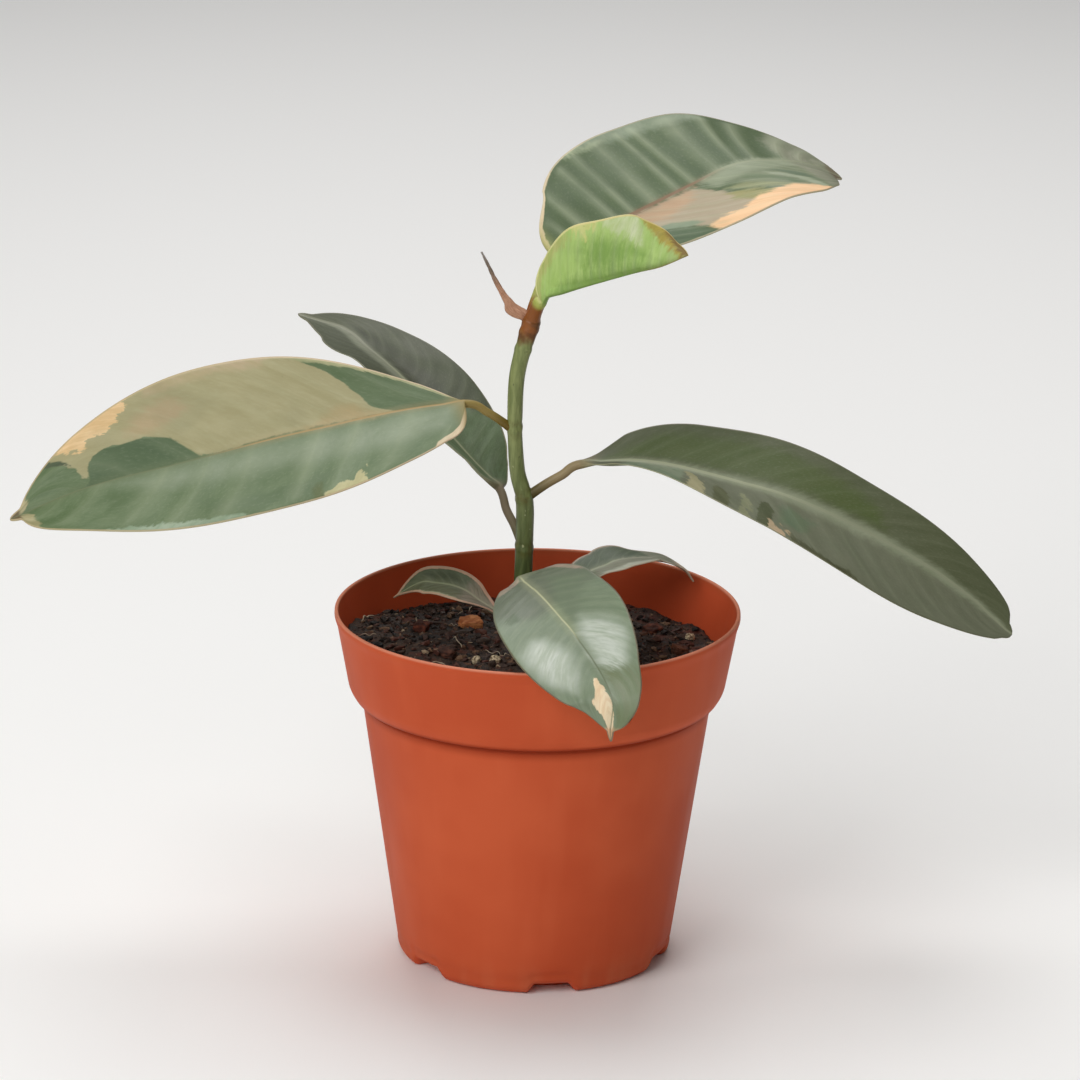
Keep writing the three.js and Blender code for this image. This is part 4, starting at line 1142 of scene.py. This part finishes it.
MIX = dict(
    level=83, slope=0.012, heap=4.2, heap_x=-42, heap_y=2, heap_spread=18, ripple=0.45,
    waves=(0.31, 0.27, 0.17, 0.23), bottom=6, bottom_clearance=2, clearance=0.35, rings=100, spokes=400,
    crumbs=3400, fibres=16,
)


def inner_wall_radius(height):
    """The radius that the mix fills at a height, a little inside the pot's wall."""
    wall = [(body_radius(MIX["bottom"]) - POT["wall"], MIX["bottom"]), INNER_BODY_TOP, INNER_COLLAR_FOOT,
            (POT["rim_radius"] - POT["lip_flare"] - POT["wall"], POT["height"] - POT["lip_height"])]
    radii, heights = zip(*wall)
    return np.interp(height, heights, radii) - MIX["clearance"]


def mix_height(x, y):
    far = (x - MIX["heap_x"]) ** 2 + (y - MIX["heap_y"]) ** 2
    heap = MIX["heap"] * np.exp(-far / (2 * MIX["heap_spread"] ** 2))
    a, b, c, d = MIX["waves"]
    ripple = MIX["ripple"] * (np.cos(a * x) * np.cos(b * y) + np.sin(c * x - d * y))
    return MIX["level"] - MIX["slope"] * x + heap + ripple


def crumb_relief(x, y):
    """Small lumps and pits in the surface of the mix."""
    point = Vector((x, y, 0))
    coarse = noise.noise(point * 0.32)
    fine = noise.noise(point * 0.9 + Vector((9, 4, 2)))
    grit = noise.noise(point * 2.1 + Vector((3, 8, 5)))
    return 0.7 * coarse + 0.5 * abs(fine) + 0.25 * grit - 0.5


def make_mix():
    """The body of the mix: a rough top that meets the wall, and plain sides hidden in the pot."""
    top, waist, bottom = 0, -1, -2
    level_radius = inner_wall_radius(MIX["level"])
    section = [(level_radius * k / MIX["rings"], top) for k in range(MIX["rings"] + 1)]
    bottom_radius = body_radius(MIX["bottom"]) - MIX["bottom_clearance"]
    section += [(level_radius, waist), (bottom_radius, bottom), (0, bottom)]
    bm = spun(section, MIX["spokes"])
    for vertex in bm.verts:
        x, y, part = vertex.co
        if round(part) == top:
            surface = mix_height(x, y)
            stretch = inner_wall_radius(surface) / level_radius
            vertex.co = (x * stretch, y * stretch, surface + crumb_relief(x, y))
        elif round(part) == waist:
            stretch = inner_wall_radius(STEP_BOTTOM) / math.hypot(x, y)
            vertex.co = (x * stretch, y * stretch, STEP_BOTTOM)
        else:
            vertex.co.z = MIX["bottom"]
    finish_piece(bm, "potting_mix_body", mix_material(), ["potting_mix"])


def mix_material():
    """Damp peat and bark fines: near black with brown and reddish bits."""
    shader = Shader("mix_body", roughness=0.8, specular=0.3)
    place = shader.place()
    coarse = shader.noise(place, 340.0, detail=4.0, rough=0.7)
    red = shader.noise(place, 130.0, detail=3.0)
    grit = shader.noise(place, 1300.0, detail=2.0)
    colour = shader.grained(coarse, (30, 22, 18), (70, 52, 42))
    colour = shader.over(colour, (92, 44, 30), shader.step(red, 0.52, 0.66), 0.7)
    colour = shader.over(colour, (134, 112, 92), shader.step(grit, 0.66, 0.72), 0.5)
    normal = shader.bump(grit, 0.15, 0.8, under=shader.bump(coarse, 0.5, 0.9))
    return shader.finish(colour, shader.step(coarse, 0.3, 0.7, 0.6, 0.92), normal)


# draws between which crumbs turn from the tone before to the next one
CRUMB_TONES = [(0.5, 0.7, (78, 40, 28)), (0.78, 0.9, (112, 84, 62)), (0.97, 1.0, (160, 138, 112))]


def crumb_material():
    """Crumbs, each with its own tone from black peat to red-brown bark and a few pale bits."""
    shader = Shader("mix_crumb", roughness=0.75, specular=0.35)
    tone = shader.attribute("tone")
    place = shader.place()
    grain = shader.noise(place, 800.0, detail=3.0, rough=0.65)
    colour = shader.mix(shader.step(tone, 0.0, 0.45), (22, 17, 15), (62, 46, 38))
    for start, end, next_tone in CRUMB_TONES:
        colour = shader.mix(shader.step(tone, start, end), colour, next_tone)
    colour = shader.over(colour, (24, 18, 15), shader.step(grain, 0.5, 0.7), 0.4)
    return shader.finish(colour, shader.step(grain, 0.3, 0.7, 0.55, 0.9), shader.bump(grain, 0.2, 0.8))


def gathered(parts):
    """One bmesh that holds a list of small ones, in order."""
    whole = bmesh.new()
    for part in parts:
        mesh = mesh_from(part, "part")
        whole.from_mesh(mesh)
        bpy.data.meshes.remove(mesh)
    return whole


def make_crumbs():
    """Loose crumbs and bits of bark that cover the mix."""
    draw = random.Random(7)
    parts, tones = [], []
    edge, stem_x = inner_wall_radius(MIX["level"]), STEM[2][1]
    for _ in range(MIX["crumbs"]):
        size = 0.3 + 1.1 * draw.random() ** 3.6
        reach = (edge - 1.2 * size - 0.5) * math.sqrt(draw.random())
        angle = draw.uniform(0, 2 * math.pi)
        x, y = reach * math.cos(angle), reach * math.sin(angle)
        flat = (draw.uniform(0.8, 2.1), draw.uniform(0.45, 0.9), draw.uniform(0.35, 0.75))
        heading, tilt, tone = draw.uniform(0, 6.28), draw.uniform(-0.7, 0.7), draw.random()
        if math.hypot(x - stem_x, y) <= 2.6 + size:
            continue
        z = mix_height(x, y) + crumb_relief(x, y) + 0.25 * size
        turn = Matrix.Rotation(heading, 4, "Z") @ Matrix.Rotation(tilt, 4, "X")
        place = Matrix.Translation((x, y, z)) @ turn @ Matrix.Diagonal((*(size * f for f in flat), 1))
        crumb = bmesh.new()
        bmesh.ops.create_icosphere(crumb, subdivisions=1, radius=1, matrix=place)
        for vertex in crumb.verts:
            vertex.co += Vector([draw.uniform(-0.22, 0.22) * size for _ in range(3)])
        tones += [tone] * len(crumb.verts)
        parts.append(crumb)
    finish_piece(gathered(parts), "mix_crumbs", crumb_material(), smooth=False,
                 values=dict(tone=tones))


def strand_points(start, heading, length, draw):
    """Where a fibre runs that wanders over the surface of the mix."""
    steps = 7
    points = []
    x, y = start
    for index in range(steps):
        lift = 1 + 0.9 * math.sin(math.pi * index / (steps - 1)) * draw.random()
        points.append((x, y, mix_height(x, y) + crumb_relief(x, y) + lift))
        heading += draw.uniform(-0.5, 0.5)
        x += length / steps * math.cos(heading)
        y += length / steps * math.sin(heading)
    return points


def make_fibres():
    """Pale fibres and rootlets lying on the mix."""
    draw = random.Random(3)
    thick, thin = strand_points((-47, 9), 1.25, 9.5, draw), strand_points((-20, -4), 2.1, 7, draw)
    strands = [(thick, 0.22), (thin, 0.12)]
    while len(strands) < MIX["fibres"]:
        reach, angle = 44 * math.sqrt(draw.random()), draw.uniform(0, 6.28)
        start = (reach * math.cos(angle), reach * math.sin(angle))
        heading, length, radius = draw.uniform(0, 6.28), draw.uniform(3, 8), draw.uniform(0.08, 0.16)
        strands.append((strand_points(start, heading, length, draw), radius))
    inside = [strand for strand in strands if max(math.hypot(x, y) for x, y, _ in strand[0]) < 49]
    shader = Shader("pale_fibre", roughness=0.7)
    tint = shader.noise(shader.place(), 500.0)
    material = shader.finish(shader.grained(tint, (150, 128, 104), (196, 180, 156)))
    bm = gathered([sweep(*strand, sides=8, rings=24) for strand in inside])
    finish_piece(bm, "mix_fibres", material)


def sweep(points, radius, sides, rings):
    """A round strand along points, tapering to both ends."""
    bm = unit_tube(sides, rings)
    axis = Axis(points)
    places = np.array([vertex.co for vertex in bm.verts])
    share = places[:, 2]
    forward = axis.direction(share)
    across = unit(np.cross(forward, UP + 0.01))
    deep = np.cross(across, forward)
    thick = radius * (0.25 + 0.75 * np.sin(np.pi * np.clip(share, 0.02, 0.98)) ** 0.5)
    moved = axis.at(share) + across * (places[:, 0] * thick)[:, None] + deep * (places[:, 1] * thick)[:, None]
    shape_skin(bm, moved)
    return bm


# x, y, length, width, height, heading in degrees
BARK_CHIPS = [
    (-18, 20, 7.5, 5.5, 4, 20), (-31, 9, 6, 4.5, 3.5, 75), (-24, -8, 6.5, 4, 3.5, -30),
    (31, 21, 7, 4.5, 3.5, 50), (38, 5, 6, 4.5, 3.5, 110), (7, 35, 7, 5, 4, -15),
]
PUMICE_GRAINS = [(-11, -12, 3.6, 3, 2.8, 10), (-16, -10.5, 3, 2.6, 2.6, 60), (41, 16, 3.2, 2.8, 2.6, 35)]
# light and dark colour of each bark chip
CHIP_TONES = [
    ((224, 150, 96), (176, 100, 58)), ((112, 58, 40), (66, 34, 26)), ((92, 56, 42), (52, 34, 28)),
    ((112, 62, 44), (62, 36, 28)), ((110, 66, 44), (64, 38, 28)), ((108, 64, 46), (60, 36, 28)),
]


def make_lump(name, lump, sharpness, material, seed):
    """A broken lump: a rounded block whose faces are pushed in and out."""
    x, y, length, width, height, heading = lump
    bm = bmesh.new()
    bmesh.ops.create_icosphere(bm, subdivisions=5, radius=1)
    offset = Vector((seed * 3.1, seed * 1.7, seed * 0.9))
    for vertex in bm.verts:
        direction = vertex.co.normalized()
        block = 1 / max(abs(direction.x), abs(direction.y), abs(direction.z)) ** sharpness
        rough = 0.13 * noise.noise(direction * 2.2 + offset) + 0.05 * noise.noise(direction * 7 + offset)
        layers = 0.025 * math.sin(direction.z * 26 + 3 * noise.noise(direction * 2 + offset)) * sharpness
        vertex.co = direction * block * (0.82 + rough + layers)
    bmesh.ops.scale(bm, vec=(length / 2, width / 2, height / 2), verts=bm.verts)
    turn = Matrix.Rotation(math.radians(heading), 4, "Z") @ Matrix.Rotation(0.25, 4, "X")
    place = Matrix.Translation((x, y, float(mix_height(x, y)) + 0.3))
    bmesh.ops.transform(bm, matrix=place @ turn, verts=bm.verts)
    finish_piece(bm, name + "_lump", material, [name])


def chip_material(name, light, dark):
    """Weathered bark with layers and a grain."""
    shader = Shader(name, roughness=0.8, specular=0.25)
    place = shader.place()
    grain = shader.noise(shader.stretched(place, (1, 1, 3)), 420.0, detail=4.0, rough=0.65)
    blotch = shader.noise(place, 300.0, detail=2.0)
    colour = shader.over(shader.grained(grain, dark, light), dark, shader.step(blotch, 0.5, 0.66), 0.6)
    return shader.finish(colour, None, shader.bump(grain, 0.3, 0.9))


def pumice_material():
    """Pale porous grain with dirt in its pores."""
    shader = Shader("pumice_grit", roughness=0.9, specular=0.2)
    place = shader.place()
    pores = shader.noise(place, 1500.0, detail=3.0, rough=0.7)
    colour = shader.mix(shader.step(pores, 0.38, 0.6), (104, 86, 66), (206, 188, 156))
    return shader.finish(colour, None, shader.bump(pores, 0.3, 0.9))


def make_lumps():
    for index, (chip, tones) in enumerate(zip(BARK_CHIPS, CHIP_TONES), start=1):
        material = chip_material(f"bark_{index}", *tones)
        make_lump(f"bark_chip_{index}", chip, 0.7, material, index)
    grit = pumice_material()
    for index, grain in enumerate(PUMICE_GRAINS, start=1):
        make_lump(f"pumice_grain_{index}", grain, 0.3, grit, index + 20)


# ---------------------------------------------------------------- floor, light and camera

CAMERA = dict(
    elevation=17.33, distance=1372, target=(0.4, 0, 114.5), roll=0.7, focal_pixels=5200, frame_pixels=1080,
)


def make_camera():
    """The photograph's view: a long lens, a little above the rim, turned slightly about its own axis."""
    tilt, roll = math.radians(CAMERA["elevation"]), math.radians(CAMERA["roll"])
    forward = Vector((0, math.cos(tilt), -math.sin(tilt)))
    right, up = Vector((1, 0, 0)), Vector((0, math.sin(tilt), math.cos(tilt)))
    turned_right = right * math.cos(roll) + up * math.sin(roll)
    turned_up = up * math.cos(roll) - right * math.sin(roll)
    data = bpy.data.cameras.new("photo_camera")
    data.sensor_width = 36
    data.lens = CAMERA["focal_pixels"] / CAMERA["frame_pixels"] * data.sensor_width
    data.clip_start, data.clip_end = 0.05, 20
    camera = add_object("photo_camera", data)
    place = (Vector(CAMERA["target"]) - forward * CAMERA["distance"]) * MM
    axes = Matrix((turned_right, turned_up, -forward)).transposed().to_4x4()
    camera.matrix_world = Matrix.Translation(place) @ axes
    bpy.context.scene.camera = camera


def make_floor():
    bm = bmesh.new()
    bmesh.ops.create_grid(bm, x_segments=1, y_segments=1, size=6)
    mesh = mesh_from(bm, "floor")
    mesh.materials.append(Shader("floor_paper", roughness=0.9, specular=0.1).finish((250, 249, 247)))
    floor = add_object("floor", mesh)


# name, place, size, watts
LIGHTS = [
    ("key_softbox", (-0.85, -1.05, 1.05), 0.9, 11.5),
    ("front_softbox", (-0.3, -1.6, 0.9), 0.9, 4.5),
    ("top_softbox", (0.0, 0.2, 1.5), 0.9, 10.0),
    ("back_softbox", (0.0, 1.1, 1.3), 1.0, 7.0),
]


def make_lights():
    aim = Vector((0, 0, 0.11))
    for name, place, size, power in LIGHTS:
        data = bpy.data.lights.new(name, "AREA")
        data.shape = "SQUARE"
        data.size = size
        data.energy = power
        light = add_object(name, data)
        light.location = place
        light.rotation_euler = (aim - Vector(place)).to_track_quat("-Z", "Y").to_euler()
    world = bpy.data.worlds.new("studio")
    world.use_nodes = True
    world.node_tree.nodes["Background"].inputs["Color"].default_value = (1, 1, 1, 1)
    world.node_tree.nodes["Background"].inputs["Strength"].default_value = 0.11
    bpy.context.scene.world = world
    bpy.context.scene.view_settings.view_transform = "Standard"


# ---------------------------------------------------------------- the plant in its pot

make_camera()
make_floor()
make_lights()
make_pot()
make_mix()
make_crumbs()
make_fibres()
make_lumps()
make_stem()
make_stipule()
make_leaves()
